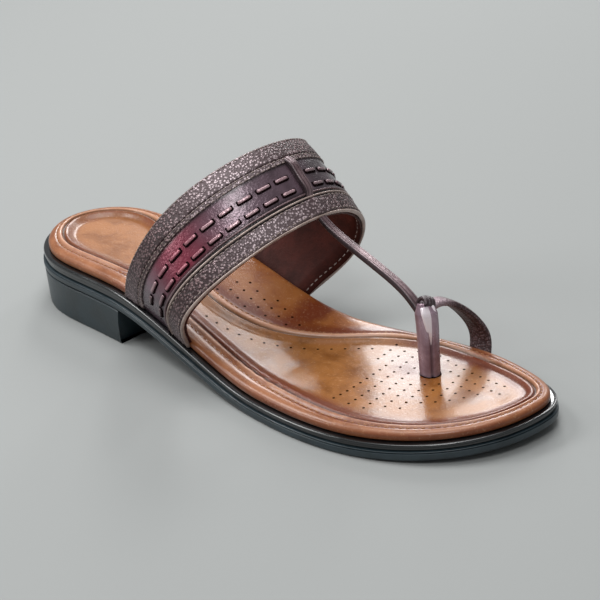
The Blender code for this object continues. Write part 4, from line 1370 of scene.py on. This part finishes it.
def make_centre_strap():
    """The strap under the rear border, over the panel, under the front border and down to the post."""
    points = [band_point(row.girth, row.place, STRAP_THICKNESS * row.lift) for row in STRAP_ON_BAND]
    points += [toe_point(row) for row in STRAP_IN_AIR]
    width = STRAP_WIDTH * STRAP_ROLL
    widths = [width] * len(STRAP_ON_BAND) + [width * row.width for row in STRAP_IN_AIR]
    thick = [STRAP_THICKNESS * row.thickness for row in STRAP_ON_BAND] + [STRAP_THICKNESS] * len(STRAP_IN_AIR)
    dents = (-0.2, 0.22)
    section = oval(56, 0.55, dents, 0.13, 0.06)
    painted_shades = []
    for across, out in section:
        # Painted shade in the strap's two creases and along its edges.
        crease = 0.8 * sum(float(bell(across - dent, 0.05)) for dent in dents) if out > 0 else 0.0
        painted_shades.append(max(crease, 0.85 * float(smooth((abs(across) - 0.34) / 0.08))))
    piece = swept("centre_strap", points, widths, thick, (0, 1, 0), section, FOLDED_LEATHER, 200, painted_shades=painted_shades)
    return finish_piece(piece, "upper")


def make_toe_post():
    """The wrapped tube between the toes, with two creases down it."""
    rows = [toe_point(row) for row in TOE_POST]
    widths = [POST_TOP_WIDTH * row.width for row in TOE_POST[:-1]] + [POST_FOOT_WIDTH]
    thick = [POST_THICKNESS * 0.75] + [POST_THICKNESS] * 3
    section, painted_shades = [], []
    for across, out in oval(96, 0.85):
        angle = math.atan2(out, across)
        crease = sum(float(bell(math.remainder(angle - at, 2 * math.pi), 0.17)) for at in CREASES)
        section.append((across * (1 - 0.22 * crease), out * (1 - 0.22 * crease)))
        # Painted shade in the post's two creases.
        painted_shades.append(0.5 * crease**4)
    piece = swept("toe_post", rows, widths, thick, (1, 0, 0), section, POST_LEATHER, 60, True, painted_shades)
    return finish_piece(piece, "upper")


def make_post_fold():
    """The strap's end, folded over the front of the post's top and cut to a point, coloured near white as a painted
    highlight.
    """
    top, foot = toe_point(TOE_POST[0]), toe_point(TOE_POST[3])
    front = unit(np.array(FOLD_SIDE))
    points = [blend(top, foot, row.down) + front * POST_THICKNESS * row.out for row in POST_FOLD]
    widths = [POST_TOP_WIDTH * row.width for row in POST_FOLD]
    thick = [row.thickness for row in POST_FOLD]
    hint = np.cross(front, (0, 0, 1.0))
    piece = swept("post_fold", points, widths, thick, hint, oval(32, 0.7), FOLD_HIGHLIGHT_LEATHER, 50)
    return finish_piece(piece, "upper")


def make_toe_ring():
    x = SOLE_LENGTH * RING_END
    across = float(across_at(1, x, FOOTBED_INSET - BAND_OVERHANG)) - RING_THICKNESS / 2
    points = [toe_point(row) for row in TOE_RING] + [np.array([x, across, float(deck(x))])]
    widths = [blend(RING_NECK, RING_WIDTH, row.width) * n for row, n in zip(TOE_RING, NECK_SHARES)] + [RING_WIDTH]
    section = oval(56, 0.6, (-0.30, 0.30), 0.10, 0.05)
    thick = [RING_THICKNESS] * len(points)
    piece = swept("toe_ring", points, widths, thick, (1, 0, 0), section, STRAP_LEATHER, 110, True)
    start = points[0] + np.array(SHIFT)
    places = np.empty(len(piece.data.vertices) * 3, np.float32)
    piece.data.vertices.foreach_get("co", places)
    from_start = np.linalg.norm(places.reshape(-1, 3) - start, axis=1)
    neck = piece.data.attributes.new("neck", "FLOAT", "POINT")
    neck.data.foreach_set("value", (0.9 * (1 - smooth((from_start - 0.006) / 0.010))).astype(np.float32))
    return finish_piece(piece, "upper")


def make_knot():
    """Turns of leather round the start of the toe ring, tying it to the post's top, over a round core."""
    top = toe_point(TOE_POST[0])
    axis = unit(toe_point(TOE_RING[1]) - top)
    side = unit(np.cross(axis, (0, 0, 1)))
    up = np.cross(side, axis)
    centre = blend(top, toe_point(TOE_RING[0]), 0.35)
    turns = 2.6
    loop = []
    for k in range(53):
        share = k / 52
        angle = 2 * math.pi * turns * share
        radius = KNOT_SIZE * (0.27 + 0.05 * math.sin(math.pi * share))
        along = axis * KNOT_SIZE * 0.62 * (share - 0.5)
        loop.append(centre + along + (side * math.cos(angle) + up * math.sin(angle)) * radius)
    widths, thick = [KNOT_SIZE * 0.30] * len(loop), [KNOT_SIZE * 0.20] * len(loop)
    finish_piece(swept("knot_wrap", loop, widths, thick, axis, oval(20, 0.8), KNOT_LEATHER, 150), "upper")
    turn = np.linspace(0, 2 * math.pi, 24, endpoint=False)
    circle = np.cos(turn)[:, None] * side + np.sin(turn)[:, None] * up
    rings = []
    for k in range(15):
        angle = math.pi * (k / 14 - 0.5)
        radius = KNOT_SIZE * 0.30 * math.cos(angle) + 1e-5
        rings.append(centre + axis * (KNOT_SIZE * 0.42 * math.sin(angle)) + radius * circle)
    finish_piece(closed_loft("knot_core", rings, KNOT_LEATHER), "upper")


# Stage


def area_light(name, place, target, size, power):
    light = bpy.data.lights.new(name, "AREA")
    light.shape = "RECTANGLE"
    light.size, light.size_y = size
    light.energy = power
    lamp = new_object(name, light)
    lamp.location = Vector(place) + SHIFT
    direction = Vector(target) - Vector(place)
    lamp.rotation_euler = direction.to_track_quat("-Z", "Y").to_euler()


def make_stage():
    mesh = bpy.data.meshes.new("floor")
    half = 6.0
    mesh.from_pydata([(-half, -half, 0), (half, -half, 0), (half, half, 0), (-half, half, 0)], [], [(0, 1, 2, 3)])
    floor = new_object("floor", mesh)
    material, nodes, shader = new_material("pale studio floor")
    set_shader(nodes, shader, Base_Color="949695", Roughness=0.9, Specular_IOR_Level=0.1)
    mesh.materials.append(material)
    world = bpy.data.worlds.new("studio")
    bpy.context.scene.world = world
    world.use_nodes = True
    back = world.node_tree.nodes["Background"]
    back.inputs["Color"].default_value = (0.78, 0.80, 0.82, 1)
    back.inputs["Strength"].default_value = 0.36


def make_lights():
    middle = (0.135, 0.0, 0.03)
    area_light("overhead softbox", (0.05, 0.10, 1.10), middle, (0.6, 0.5), 6.0)
    area_light("front softbox", (0.58, -0.52, 1.00), middle, (0.35, 0.35), 4.5)
    area_light("left softbox", (-0.55, -0.80, 0.60), middle, (0.45, 0.45), 3.6)
    area_light("upper left softbox", (-0.50, -0.25, 0.85), middle, (0.35, 0.35), 4.2)
    area_light("high rear window", (-0.38, 0.87, 0.85), (0.155, 0.0, 0.03), (0.20, 0.35), 2.2)
    area_light("rear window left", (-0.54, 0.80, 0.58), (0.19, 0.0, 0.03), (0.20, 0.50), 3.8)
    area_light("rear window right", (-0.16, 1.05, 0.58), (0.19, 0.0, 0.03), (0.14, 0.50), 2.2)


def make_camera():
    data = bpy.data.cameras.new("camera")
    data.lens = LENS
    data.sensor_width = SENSOR
    camera = new_object("camera", data)
    camera.location = Vector(CAMERA_PLACE) + SHIFT
    heading = Euler((0, 0, CAMERA_HEADING)).to_matrix()
    pitch = Euler((math.pi / 2 - CAMERA_PITCH, 0, 0)).to_matrix()
    roll = Euler((0, 0, CAMERA_ROLL)).to_matrix()
    camera.rotation_euler = (heading @ pitch @ roll).to_euler()
    bpy.context.scene.camera = camera
    bpy.context.scene.view_settings.view_transform = "Standard"


def main():
    make_camera()
    make_stage()
    make_lights()
    make_outsole()
    make_midsole()
    make_heel()
    footbed = make_footbed()
    punch_footbed(footbed)
    post_slot_shade(footbed)
    stitch_footbed(footbed)
    make_band()
    band_seams()
    weave_strips()
    make_centre_strap()
    make_toe_post()
    make_post_fold()
    make_toe_ring()
    make_knot()


main()
